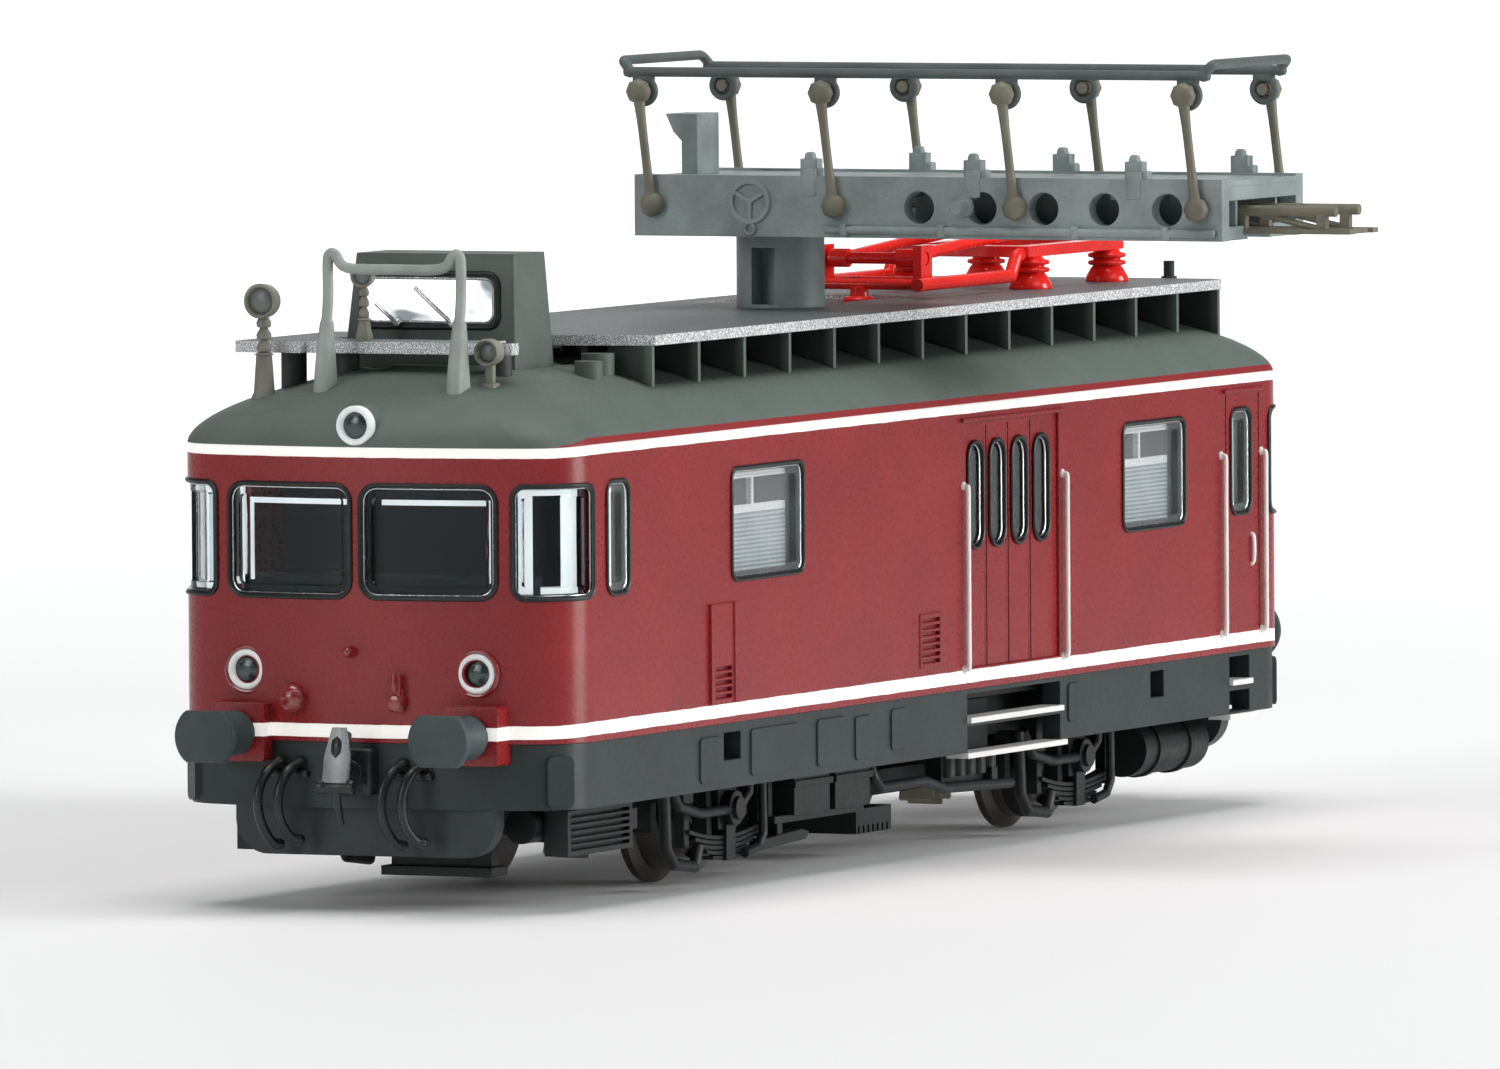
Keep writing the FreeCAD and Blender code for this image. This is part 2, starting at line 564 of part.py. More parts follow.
plate = plan_solid(1.1, 6.6, 7.4).common(box(-37, 37, -10, 10, 6, 8))
cradle = box(-10.6, 10.6, -4.6, 4.6, 3.4, 9.2)
blocks = [cradle]
for sx in (-1, 1):
    x0, x1 = sorted((sx * 10.6, sx * 15.1))
    blocks.append(box(x0, x1, -4.2, 4.2, 2.8, 9.2))
    x0, x1 = sorted((sx * 15.1, sx * 23.0))
    blocks.append(box(x0, x1, -3.2, 3.2, AXLE_Z, 9.2))
    for sy in (-1, 1):
        blocks.append(cyl(0.7, (sx * 13.2, sy * 3.6, 9.2), (sx * 13.2, sy * 3.6, 10.2)))
frame = union([plate] + blocks)
ways = [cyl(CAN_R, (-9.6, 0, WORM_Z), (9.6, 0, WORM_Z)), box(-9.6, 9.6, -CAN_R, CAN_R, WORM_Z, 12),
        cyl(SHAFT_R + RUN, (-26, 0, WORM_Z), (26, 0, WORM_Z))]
for sx in (-1, 1):
    x0, x1 = sorted((sx * 10.9, sx * 14.3))
    ways.append(cyl(3.2, (x0, 0, WORM_Z), (x1, 0, WORM_Z)))
    ways.append(box(x0, x1, -3.2, 3.2, WORM_Z, 12))
    ways += worm_ways(sx)
    for sy in (-1, 1):
        ways.append(cyl(0.45, (sx * 13.2, sy * 3.6, 8.0), (sx * 13.2, sy * 3.6, 10.3)))
        ways.append(cyl(0.45, (sx * 22.4, sy * 2.5, 7.6), (sx * 22.4, sy * 2.5, 9.3)))
for sx in (-1, 1):
    x0, x1 = sorted((sx * 30.0, sx * 36.5))
    ways.append(box(x0, x1, -1.5, 1.5, 6.5, 7.5))
frame = frame.cut(Part.makeCompound(ways))
save("chassis_frame", frame)

keeper = box(-23.0, 23.0, -3.2, 3.2, 1.7, AXLE_Z)
keeper = keeper.cut(cyl(CAN_R, (-9.7, 0, WORM_Z), (9.7, 0, WORM_Z)))
for sx in (-1, 1):
    keeper = keeper.cut(Part.makeCompound(worm_ways(sx)))
    x0, x1 = sorted((sx * 10.9, sx * 14.3))
    keeper = keeper.cut(cyl(3.2, (x0, 0, WORM_Z - 0.3), (x1, 0, WORM_Z - 0.3)))
keeper = keeper.common(box(-30, 30, -5, 5, 1.7, AXLE_Z))
save("keeper_plate", keeper)

covers = []
for sx in (-1, 1):
    cover = box(*sorted((sx * 15.3, sx * 23.0)), -3.2, 3.2, 9.2, 9.8)
    for sy in (-1, 1):
        cover = cover.cut(cyl(0.45, (sx * 22.4, sy * 2.5, 9), (sx * 22.4, sy * 2.5, 10)))
    covers.append(cover)
save("worm_covers", covers)

screws = []
for sx in (-1, 1):
    for sy in (-1, 1):
        for x, y, z0, z1 in ((13.2, 3.6, 8.0, 10.8), (22.4, 2.5, 7.6, 9.8)):
            shank = cyl(0.45, (sx * x, sy * y, z0), (sx * x, sy * y, z1))
            head = cyl(0.8, (sx * x, sy * y, z1), (sx * x, sy * y, z1 + 0.45))
            slot = box(sx * x - 0.9, sx * x + 0.9, sy * y - 0.12, sy * y + 0.12, z1 + 0.2, z1 + 0.6)
            screws.append(union([shank, head]).cut(slot))
save("screws", screws)

board = box(-15.0, 15.0, -4.8, 4.8, 10.2, 10.8)
for sx in (-1, 1):
    for sy in (-1, 1):
        board = board.cut(cyl(0.45, (sx * 13.2, sy * 3.6, 10), (sx * 13.2, sy * 3.6, 11)))
chips = [box(-9.5, -6.0, -1.6, 1.6, 10.8, 11.5), box(-3.5, -0.5, -2.2, 0.8, 10.8, 11.3),
         box(3.0, 5.0, -3.0, -1.8, 10.8, 11.2), box(6.0, 8.0, 0.5, 2.5, 10.8, 11.4),
         box(-14.8, -14.2, -2.0, 2.0, 10.8, 11.3), box(14.2, 14.8, -2.0, 2.0, 10.8, 11.3)]
save("circuit_board", union([board] + chips))

ballast = []
for sx in (-1, 1):
    slab = plan_solid(1.6, 7.4, 9.3).common(box(*sorted((sx * 24.0, sx * 36.0)), -7.3, 7.3, 7, 10))
    ballast.append(slab.cut(box(*sorted((sx * 30.0, sx * 36.5)), -1.5, 1.5, 7.0, 9.5)))
save("ballast_weights", ballast)
guides = []
for sx in (-1, 1):
    for sy in (-1, 1):
        bar = box(*sorted((sx * 24.5, sx * 38.6)), *sorted((sy * 4.9, sy * 5.9)), 9.3, 10.1)
        guides.append(bar.common(plan_solid(0.9, 8, 11)))
save("light_guides", [union([g, l]) for g, l in zip(guides, lenses)] + [lenses[-1]])

# motor, fixed parts
can = tube(CAN_R, 3.05, (-8.6, 0, WORM_Z), (8.6, 0, WORM_Z))
for sx in (-1, 1):
    can = union([can, tube(3.05, SHAFT_R + RUN, (sx * 8.6, 0, WORM_Z), (sx * 8.0, 0, WORM_Z))])
save("motor_can", can)
magnet = tube(3.05, 2.55, (-5, 0, WORM_Z), (5, 0, WORM_Z))
magnet = magnet.cut(box(-6, 6, -0.8, 0.8, 0, 12))
save("motor_magnets", magnet)
brushes = [box(6.1, 6.9, *sorted((sy * 1.1, sy * 3.0)), WORM_Z - 0.35, WORM_Z + 0.35)
           .common(cyl(3.05, (5, 0, WORM_Z), (8, 0, WORM_Z))) for sy in (-1, 1)]
plate_end = tube(3.05, 1.6, (7.2, 0, WORM_Z), (8.0, 0, WORM_Z))
save("motor_brushes", union([plate_end] + [b.fuse(box(6.9, 7.2, *sorted((sy * 1.9, sy * 2.6)), WORM_Z - 0.35,
                                                        WORM_Z + 0.35)) for b, sy in zip(brushes, (-1, 1))]))

# rotor: shaft, armature, flywheels, worms
save("motor_shaft", cyl(SHAFT_R, (-22.8, 0, WORM_Z), (22.8, 0, WORM_Z)))
arm_core = tube(2.35, SHAFT_R, (-4.6, 0, WORM_Z), (4.6, 0, WORM_Z))
for k in range(5):
    slot = box(-4.7, 4.7, -0.2, 0.2, WORM_Z + 1.2, WORM_Z + 2.6)
    slot.rotate(V(0, 0, WORM_Z), X, 72.0 * k)
    arm_core = arm_core.cut(slot)
commutator = tube(1.0, SHAFT_R, (5.4, 0, WORM_Z), (7.6, 0, WORM_Z))
save("armature", [union([arm_core, tube(1.0, SHAFT_R, (4.6, 0, WORM_Z), (5.4, 0, WORM_Z))]).fuse(commutator)])
flywheels = []
for sx in (-1, 1):
    wheel = tube(3.0, SHAFT_R, (sx * 11.2, 0, WORM_Z), (sx * 14.0, 0, WORM_Z))
    groove = tube(2.5, 1.2, (sx * 13.5, 0, WORM_Z), (sx * 14.1, 0, WORM_Z))
    flywheels.append(wheel.cut(groove))
save("flywheels", flywheels)


def worm(sign):
    """Single-start right-hand worm; a thread gap faces the gear's top tooth."""
    xc = sign * AXLE_X
    length = 4.6
    x0 = xc - length / 2.0
    root = WORM_PITCH_R - 0.36
    turns = length / LEAD + 1
    helix = Part.makeHelix(LEAD, LEAD * turns, root)
    w0 = 0.22
    w1 = 0.1
    tip = WORM_PITCH_R + 0.24
    pts = [V(root - 0.06, 0, -w0), V(tip, 0, -w1), V(tip, 0, w1), V(root - 0.06, 0, w0)]
    profile = Part.makePolygon(pts + [pts[0]])
    thread = Part.Wire(helix).makePipeShell([profile], True, True)
    # helix axis Z -> X; the start of the thread then lies at +Z side, turned so that
    # the thread passes half a pitch away from the axle centre at the bottom
    thread.rotate(V(0, 0, 0), Y, 90)
    # after the turn the thread starts at (0, 0, -root), the bottom
    offset = (LEAD / 2.0 + length / 2.0) % LEAD
    thread.translate(V(x0 - LEAD + offset, 0, WORM_Z))
    keep = cyl(tip + 0.3, (x0, 0, WORM_Z), (x0 + length, 0, WORM_Z))
    core = cyl(root, (x0, 0, WORM_Z), (x0 + length, 0, WORM_Z))
    body = core.fuse(thread.common(keep))
    return body.cut(cyl(SHAFT_R, (x0 - 1, 0, WORM_Z), (x0 + length + 1, 0, WORM_Z)))


save("worms", [worm(-1), worm(1)])


# wheelsets
def gear_blank(xc):
    pitch_r = GEAR_MODULE * GEAR_TEETH / 2.0
    root = pitch_r - 0.36
    tip = pitch_r + 0.24
    pts = []
    for k in range(GEAR_TEETH):
        a = math.pi / 2 + 2 * math.pi * k / GEAR_TEETH
        for r, w in ((root, -0.115), (tip, -0.05), (tip, 0.05), (root, 0.115)):
            pts.append((xc + r * math.cos(a + w), AXLE_Z + r * math.sin(a + w)))
    body = prism(pts, "y", -0.8, 0.8)
    boss = cyl(1.25, (xc, -1.1, AXLE_Z), (xc, 1.1, AXLE_Z))
    return union([body, boss]).cut(cyl(AXLE_R, (xc, -2, AXLE_Z), (xc, 2, AXLE_Z)))


def wheel(xc, sy, tyred):
    inner = BACK_TO_BACK / 2.0
    flange = cyl(FLANGE_R, (xc, sy * inner, AXLE_Z), (xc, sy * (inner + 0.35), AXLE_Z))
    blend = Part.makeCone(FLANGE_R, AXLE_Z, 0.25, V(xc, sy * (inner + 0.35), AXLE_Z), V(0, sy, 0))
    tread = cyl(AXLE_Z, (xc, sy * (inner + 0.6), AXLE_Z), (xc, sy * TREAD_END, AXLE_Z))
    body = union([flange, blend, tread])
    dish = tube(2.25, 1.0, (xc, sy * (TREAD_END - 0.5), AXLE_Z), (xc, sy * (TREAD_END + 0.1), AXLE_Z))
    body = body.cut(dish)
    if tyred:
        body = body.cut(tube(AXLE_Z + 0.1, AXLE_Z - 0.25, (xc, sy * (TREAD_END - 1.1), AXLE_Z),
                             (xc, sy * (TREAD_END - 0.4), AXLE_Z)))
    return body.cut(cyl(AXLE_R, (xc, -8, AXLE_Z), (xc, 8, AXLE_Z)))


for name, xc, tyred in (("front", -AXLE_X, False), ("rear", AXLE_X, True)):
    rod = cyl(AXLE_R, (xc, -6.0, AXLE_Z), (xc, 6.0, AXLE_Z))
    save("axle_" + name, union([rod, gear_blank(xc)]))
    save("wheels_" + name, [wheel(xc, sy, tyred) for sy in (-1, 1)])
tyres = [tube(AXLE_Z, AXLE_Z - 0.25, (AXLE_X, sy * (TREAD_END - 1.1), AXLE_Z),
              (AXLE_X, sy * (TREAD_END - 0.4), AXLE_Z)) for sy in (-1, 1)]
save("traction_tyres", tyres)

pickups = []
for sx in (-1, 1):
    for sy in (-1, 1):
        xc = sx * AXLE_X
        strip = box(xc - 2.6, xc + 2.6, *sorted((sy * 3.2, sy * 3.35)), 4.4, 5.4)
        finger = box(xc + 1.2, xc + 1.9, *sorted((sy * 3.35, sy * 3.62)), 4.5, 5.2)
        pickups.append(union([strip, finger]))
save("pickup_strips", pickups)

# ---- underframe ---------------------------------------------------------
frames = []
for sy in (-1, 1):
    def side(x0, x1, a, b, z0, z1, s=sy):
        return box(x0, x1, *sorted((s * a, s * b)), z0, z1)

    bits = [side(-26, 26, 6.3, 8.0, 6.1, 6.6), side(-26, 26, 6.3, 6.8, 4.2, 6.2)]
    for sx in (-1, 1):
        xc = sx * AXLE_X
        bits.append(side(xc - 0.95, xc + 0.95, 6.6, 7.5, 1.9, 4.4))
        bits.append(cyl(0.75, (xc, sy * 7.4, AXLE_Z), (xc, sy * 7.95, AXLE_Z)))
        bits.append(side(xc - 1.5, xc - 1.0, 6.5, 7.2, 1.6, 6.2))
        bits.append(side(xc + 1.0, xc + 1.5, 6.5, 7.2, 1.6, 6.2))
        # leaf spring: curved leaves under the box, buckle and hangers
        for k in range(5):
            half = 3.9 - 0.6 * k
            drop = 0.45 * (half / 3.9) ** 2
            zk = 1.62 - 0.22 * k
            arc_top = Part.Arc(V(xc - half, 0, zk + drop), V(xc, 0, zk), V(xc + half, 0, zk + drop)).toShape()
            arc_low = Part.Arc(V(xc - half, 0, zk + drop - 0.17), V(xc, 0, zk - 0.17),
                               V(xc + half, 0, zk + drop - 0.17)).toShape()
            joins = [Part.makeLine(arc_top.Vertexes[i].Point, arc_low.Vertexes[i].Point) for i in (0, 1)]
            leaf = Part.Face(Part.Wire(Part.__sortEdges__([arc_top, arc_low] + joins)))
            leaf.translate(V(0, sy * 7.2 - 0.3, 0))
            bits.append(leaf.extrude(V(0, 0.6, 0)))
        bits.append(side(xc - 0.45, xc + 0.45, 6.8, 7.65, 0.55, 2.1))
        # guard pipe round the wheel, brake pipe above it
        y = sy * 7.75
        bits.append(bent_rod([(xc - 7.1, y, 4.3), (xc - 6.9, y, 1.5), (xc - 6.2, y, 0.75), (xc - 4.0, y, 0.5),
                              (xc - 3.6, y, 1.4)], 0.26))
        bits.append(bent_rod([(xc + 3.0, y, 4.3), (xc + 3.1, y, 1.5), (xc + 2.6, y, 0.95), (xc + 1.2, y, 0.75)], 0.2))
        bits.append(bent_rod([(xc - 6.6, y, 4.3), (xc - 5.6, y, 3.2), (xc - 3.4, y, 2.75), (xc + 0.6, y, 2.75),
                              (xc + 1.6, y, 3.4), (xc + 1.7, y, 4.3)], 0.22))
        bits.append(side(xc - 6.7, xc - 6.5, 6.6, 7.75, 3.9, 4.3))
        bits.append(side(xc + 1.6, xc + 3.1, 6.6, 7.75, 3.9, 4.3))
        bits.append(side(xc - 7.2, xc - 6.5, 6.6, 7.75, 3.9, 4.3))
        bits.append(cyl(0.5, (xc, sy * 7.9, AXLE_Z), (xc, sy * 8.15, AXLE_Z)))
        for e in (-3.8, 3.8):
            bits.append(side(xc + e - 0.25, xc + e + 0.25, 6.8, 7.3, 1.3, 3.4))
            bits.append(side(xc + e - 0.5, xc + e + 0.5, 6.5, 7.4, 3.2, 6.2))
        # brake hangers and shoes, clear of the flange
        for e in (-1, 1):
            shoe = tube(FLANGE_R + 0.7, FLANGE_R + 0.15, (xc, sy * 4.3, AXLE_Z), (xc, sy * 5.7, AXLE_Z))
            wedge = side(xc + e * 3.0 if e > 0 else xc - 4.2, xc + 4.2 if e > 0 else xc - 3.0, 4.0, 6.0, 1.9, 4.3)
            bits.append(shoe.common(wedge))
            hang = side(*sorted((xc + e * 3.5, xc + e * 3.9)), 5.2, 6.5, 3.2, 6.2)
            bits.append(hang.cut(cyl(FLANGE_R + 0.15, (xc, -9, AXLE_Z), (xc, 9, AXLE_Z))))
    frames.append(union(bits))
save("side_frames", frames)

under = []
for sy in (-1, 1):
    boxy = []
    for x0, x1 in ((-12.9, -9.2), (-8.6, -4.95)):
        boxy.append(box(x0, x1, *sorted((sy * 6.8, sy * 8.0)), 2.1, 6.0))
        lid = box(x0 - 0.12, x1 + 0.12, *sorted((sy * 6.8, sy * 8.12)), 3.3, 3.6)
        boxy.append(lid)
    boxy.append(box(-12.9, -4.95, *sorted((sy * 6.8, sy * 7.4)), 4.2, 6.0))
    # equipment box between the axles
    boxy.append(box(3.6, 8.6, *sorted((sy * 6.8, sy * 7.6)), 2.4, 6.0))
    boxy.append(box(-4.95, 3.6, *sorted((sy * 6.8, sy * 7.1)), 4.6, 5.4))
    # long pipe below the boxes, door rods, finned resistor and a shelf
    boxy.append(bent_rod([(-4.6, sy * 7.5, 4.8), (-4.3, sy * 7.9, 3.2), (-3.7, sy * 7.9, 2.75), (1.0, sy * 7.9, 2.75),
                          (3.0, sy * 7.9, 2.3), (10.4, sy * 7.9, 2.1)], 0.24))
    boxy.append(box(8.2, 8.8, *sorted((sy * 7.2, sy * 8.0)), 2.2, 2.9))
    for k in range(5):
        boxy.append(cyl(0.42, (4.2 + 1.1 * k, sy * 7.55, 2.7), (4.2 + 1.1 * k, sy * 7.55, 3.8)))
    boxy.append(box(-14.3, -4.95, *sorted((sy * 6.6, sy * 7.7)), 1.8, 2.12))
    boxy.append(box(-14.3, -13.9, *sorted((sy * 6.6, sy * 7.4)), 2.0, 4.2))
    boxy.append(prism([(-15.4, 0.75), (-10.8, 0.95), (-10.5, 1.25), (-11.2, 1.4), (-15.2, 1.2)], "y",
                      *sorted((sy * 6.9, sy * 7.6))))
    boxy.append(box(-13.6, -13.1, *sorted((sy * 7.0, sy * 7.5)), 1.2, 1.8))
    under.append(union(boxy))
    tank = cyl(1.25, (26.6, sy * 6.2, 2.55), (33.7, sy * 6.2, 2.55))
    straps = [tube(1.35, 1.25, (x, sy * 6.2, 2.55), (x + 0.5, sy * 6.2, 2.55)) for x in (28.0, 31.5)]
    hangs = [box(x, x + 0.5, *sorted((sy * 5.8, sy * 6.6)), 3.5, 6.6) for x in (28.0, 31.5)]
    under.append(union([tank] + straps + hangs))
    rad = box(-35.6, -29.1, *sorted((sy * 6.7, sy * 7.8)), 1.75, 3.7)
    for k in range(6):
        z = 1.98 + 0.28 * k
        rad = rad.cut(box(-35.3, -29.4, *sorted((sy * 7.5, sy * 7.9)), z, z + 0.15))
    mount = box(-35.0, -29.6, *sorted((sy * 5.4, sy * 7.0)), 2.3, 6.6)
    pump = cyl(0.75, (-36.4, sy * 5.95, 3.05), (-34.8, sy * 5.95, 3.05))
    under.append(union([rad, mount, pump, box(-28.9, -28.2, *sorted((sy * 6.9, sy * 7.6)), 2.5, 3.4),
                        box(-29.8, -28.5, *sorted((sy * 6.6, sy * 7.2)), 2.9, 6.6)]))

sump = box(-2.9, 0.84, -6.4, 2.0, 0.6, 1.7)
for k in range(7):
    sump = sump.cut(box(-2.7 + 0.5 * k, -2.5 + 0.5 * k, -6.5, 2.1, 0.5, 0.95))
bar = box(-36.2, -34.6, -4.5, 0.7, 0.85, 1.25)
hangers = [box(-35.8, -35.1, -4.3, 0.4, 1.25, 2.1), box(-35.7, -35.2, -3.6, -0.4, 2.1, 6.6)]
save("underframe_boxes", under + [sump, union([bar] + hangers)])

# interior: floor, cab bulkheads, desks and seats, guide tube of the mast
floor = plan_solid(WALL, 11.7, 12.3)
inner = [floor]
for sx in (-1, 1):
    inner.append(box(*sorted((sx * 29.6, sx * 30.1)), -8.2, 8.2, 12.3, 17.8))
    inner.append(box(*sorted((sx * 35.2, sx * 37.2)), -6.5, 6.5, 12.3, 13.6))
    for y in (-4.0, 3.0):
        inner.append(box(*sorted((sx * 32.0, sx * 33.6)), y, y + 1.8, 12.3, 13.6))
        inner.append(box(*sorted((sx * 31.7, sx * 32.1)), y, y + 1.8, 12.3, 15.6))
for x0, x1 in ((-24.0, -14.5), (17.5, 25.5)):
    inner.append(box(x0, x1, 2.0, 6.0, 12.3, 14.2))
inner.append(cyl(2.7, (MAST_X, 0, 12.3), (MAST_X, 0, 21.6)))
room = union(inner).cut(cyl(MAST_R + 0.05, (MAST_X, 0, 12.2), (MAST_X, 0, 22)))
save("interior", room)

# ---- mast and work platform ---------------------------------------------
mast = cyl(MAST_R, (MAST_X, 0, 15.2), (MAST_X, 0, DECK_Z))
mast = mast.cut(box(MAST_X - 2.2, MAST_X - 0.8, -0.55, 0.55, 23.6, 26.1))
PIVOT_R = 0.9
mast = union([mast, cyl(PIVOT_R, (MAST_X, 0, DECK_Z), (MAST_X, 0, DECK_Z + 1.6))])
save("mast", mast)

DX0 = MAST_X - DECK_HALF
HOLE_Y = (-8.75, -11.75, -14.7, -17.6, -20.6)
LUG_Y = ((-3.4, -11.25, -18.95), (-4.95, -11.9, -20.45))
DX1 = MAST_X + DECK_HALF
DY0, DY1 = DECK_Y
TOP = DECK_Z + BEAM_H
CHEEK = 0.8
pins = []
for y in POST_Y:
    pins.append(cyl(0.36, (DX0 - 1, y, POST_PIVOT_Z), (DX0 + CHEEK + 0.1, y, POST_PIVOT_Z)))
    pins.append(cyl(0.36, (DX1 + 1, y, POST_PIVOT_Z), (DX1 - CHEEK - 0.1, y, POST_PIVOT_Z)))
cheeks = [box(DX0, DX0 + CHEEK, DY0, DY1, DECK_Z, TOP), box(DX1 - CHEEK, DX1, DY0, DY1, DECK_Z, TOP)]
end_a = box(DX0 + CHEEK, DX1 - CHEEK, DY1 - 0.8, DY1, DECK_Z, TOP - 0.35)
end_b = box(DX0 + CHEEK, DX1 - CHEEK, DY0, DY0 + 0.5, TOP - 0.95, TOP - 0.35)
hub = cyl(2.3, (MAST_X, 0, DECK_Z), (MAST_X, 0, DECK_Z + 1.7))
web = box(DX0 + CHEEK, DX1 - CHEEK, -1.2, 1.2, DECK_Z, DECK_Z + 1.7)
cross_bars = [box(DX0 + CHEEK, DX1 - CHEEK, y, y + 0.5, TOP - 0.95, TOP - 0.65) for y in (-18, -13, -8, -4)]
lugs = []
for x0, ys in ((DX0 + 0.1, LUG_Y[0]), (DX1 - CHEEK + 0.1, LUG_Y[1])):
    for y in ys:
        lugs.append(box(x0, x0 + CHEEK - 0.2, y - 0.4, y + 0.4, TOP, TOP + 0.75))
ring_y = -0.6
ring_z = DECK_Z + 1.55
ring = tube(1.0, 0.78, (DX0 - 0.14, ring_y, ring_z), (DX0, ring_y, ring_z))
spokes = []
for k in range(3):
    spoke = box(DX0 - 0.12, DX0, ring_y - 0.1, ring_y + 0.1, ring_z - 0.9, ring_z)
    spoke.rotate(V(DX0, ring_y, ring_z), X, 120.0 * k)
    spokes.append(spoke)
knob = cyl(0.3, (DX0 - 0.9, -10.9, DECK_Z + 1.4), (DX0, -10.9, DECK_Z + 1.4))
pipe = cyl(0.17, (DX0 - 0.17, -4.3, DECK_Z + 0.35), (DX0 - 0.17, -22.9, DECK_Z + 0.35))
body = union(cheeks + [end_a, end_b, hub, web, ring, knob, pipe] + cross_bars + lugs + spokes)
holes = [cyl(0.72, (DX0 - 0.5, y, DECK_Z + 1.35), (DX0 + CHEEK + 0.1, y, DECK_Z + 1.35))
         for y in HOLE_Y]
holes += [cyl(0.72, (DX1 + 0.5, y, DECK_Z + 1.35), (DX1 - CHEEK - 0.1, y, DECK_Z + 1.35)) for y in HOLE_Y]
socket = cyl(PIVOT_R + RUN, (MAST_X, 0, DECK_Z - 0.1), (MAST_X, 0, DECK_Z + 1.66))
# guide channel of the extension ladder
LAD_X0 = MAST_X - 1.3
LAD_X1 = MAST_X + 1.3
lips = []
for x, s in ((LAD_X0, -1), (LAD_X1, 1)):
    lips.append(box(*sorted((x + s * 0.34, DX0 + CHEEK if s < 0 else DX1 - CHEEK)), -23.0, -8.0, DECK_Z, DECK_Z + 0.6))
    lips.append(box(*sorted((x - s * 0.1, x + s * 0.4)), -23.0, -8.0, DECK_Z, DECK_Z + 0.2))
    # web that closes the channel behind the lightening holes
    lips.append(box(*sorted((x + s * 0.8, x + s * 1.0)), -22.9, -7.6, DECK_Z + 0.5, TOP - 0.35))
body = union([body] + lips)
body = body.cut(Part.makeCompound(pins + holes + [socket]))
save("platform_frame", body)

deck = box(DX0 + CHEEK, DX1 - CHEEK, DY0, DY1, TOP - 0.35, TOP - 0.1)
for k in range(24):
    y = DY0 + 0.8 + 1.15 * k
    deck = deck.cut(box(DX0 + CHEEK + 0.4, DX1 - CHEEK - 0.4, y, y + 0.12, TOP - 0.18, TOP))
save("platform_deck", deck)

desk = prism([(3.1, TOP - 0.1), (3.85, TOP - 0.1), (3.85, 30.8), (4.25, 31.2), (4.62, 32.0), (3.1, 32.0)],
             "x", MAST_X - 2.0, MAST_X + 0.3)
save("control_desk", desk)

LAD_Z = DECK_Z + 0.25
# extension ladder: two tubes over two flats, with posts and diagonals
bits = []
for x in (LAD_X0, LAD_X1):
    bits.append(cyl(0.24, (x, -10.9, LAD_Z + 1.0), (x, -27.25, LAD_Z + 1.0)))
    bits.append(box(x - 0.3, x + 0.3, -28.0, -10.9, LAD_Z, LAD_Z + 0.22))
    for y in (-26.6, -22.8, -18.6, -14.4, -11.3):
        bits.append(box(x - 0.2, x + 0.2, y - 0.22, y + 0.22, LAD_Z + 0.15, LAD_Z + 1.0))
    for y in (-26.6, -22.8, -18.6):
        a = (x, y, LAD_Z + 0.2)
        b = (x, y + 3.4, LAD_Z + 0.95)
        bits.append(cyl(0.14, a, b))
for y in (-27.6, -23.4, -19.2, -14.9, -11.2):
    bits.append(box(LAD_X0, LAD_X1, y - 0.2, y + 0.2, LAD_Z, LAD_Z + 0.2))
save("extension_ladder", union(bits))


# railing: swinging posts and the top frame
EAR_DY = POST_LEN * math.sin(POST_LEAN)
EAR_Z = POST_PIVOT_Z + POST_LEN * math.cos(POST_LEAN)
def post(x_sign, x_face, y):
    """One post outside the beam, pins reaching in to the beam and the rail ear."""
    xo = x_face + x_sign * 0.03
    x1 = x_face + x_sign * 0.5
    y1 = y + EAR_DY
    heads = [cyl(0.52, (xo, b, z), (x1 + x_sign * 0.1, b, z)) for b, z in ((y, POST_PIVOT_Z), (y1, EAR_Z))]
    shaft = cyl(0.22, (x_face + x_sign * 0.27, y, POST_PIVOT_Z), (x_face + x_sign * 0.27, y1, EAR_Z))
    low = cyl(0.33, (x_face - x_sign * (CHEEK - 0.1), y, POST_PIVOT_Z), (xo + x_sign * 0.1, y, POST_PIVOT_Z))
    high = cyl(0.26, (x_face - x_sign * 0.55, y1, EAR_Z), (xo + x_sign * 0.1, y1, EAR_Z))
    return union(heads + [shaft, low, high])


for k, y in enumerate(POST_Y):
    save("post_pair_%d" % (k + 1), [post(-1, DX0, y), post(1, DX1, y)])

RAIL_Z = EAR_Z + RAIL_LIFT
RAIL_IN = 0.3
frame_bits = []
cuts = []
EAR_Y = [y + EAR_DY for y in POST_Y]
y_lo = EAR_Y[-1] - 0.7
y_hi = EAR_Y[0] + 0.6
for x_sign, x_face in ((-1, DX0), (1, DX1)):
    xr = x_face - x_sign * RAIL_IN
    frame_bits.append(cyl(0.27, (xr, y_lo, RAIL_Z), (xr, y_hi, RAIL_Z)))
    for y in EAR_Y:
        ear = cyl(0.62, (x_face - x_sign * 0.02, y, EAR_Z), (x_face - x_sign * 0.55, y, EAR_Z))
        neck = box(*sorted((x_face - x_sign * 0.05, x_face - x_sign * 0.52)), y - 0.25, y + 0.25, EAR_Z + 0.3, RAIL_Z)
        frame_bits += [ear, neck]
        cuts.append(cyl(0.29, (x_face + x_sign, y, EAR_Z), (x_face - x_sign, y, EAR_Z)))
for y, dy in ((y_lo, -0.5), (y_hi, 0.5)):
    xa = DX0 + RAIL_IN
    xb = DX1 - RAIL_IN
    pts = [(xa, y, RAIL_Z), (xa + 0.7, y + dy, RAIL_Z + 0.5), (xb - 0.7, y + dy, RAIL_Z + 0.5), (xb, y, RAIL_Z)]
    frame_bits.append(bent_rod(pts, 0.27))
    frame_bits += [Part.makeSphere(0.27, V(xa, y, RAIL_Z)), Part.makeSphere(0.27, V(xb, y, RAIL_Z))]
save("railing_top", union(frame_bits).cut(Part.makeCompound(cuts)))

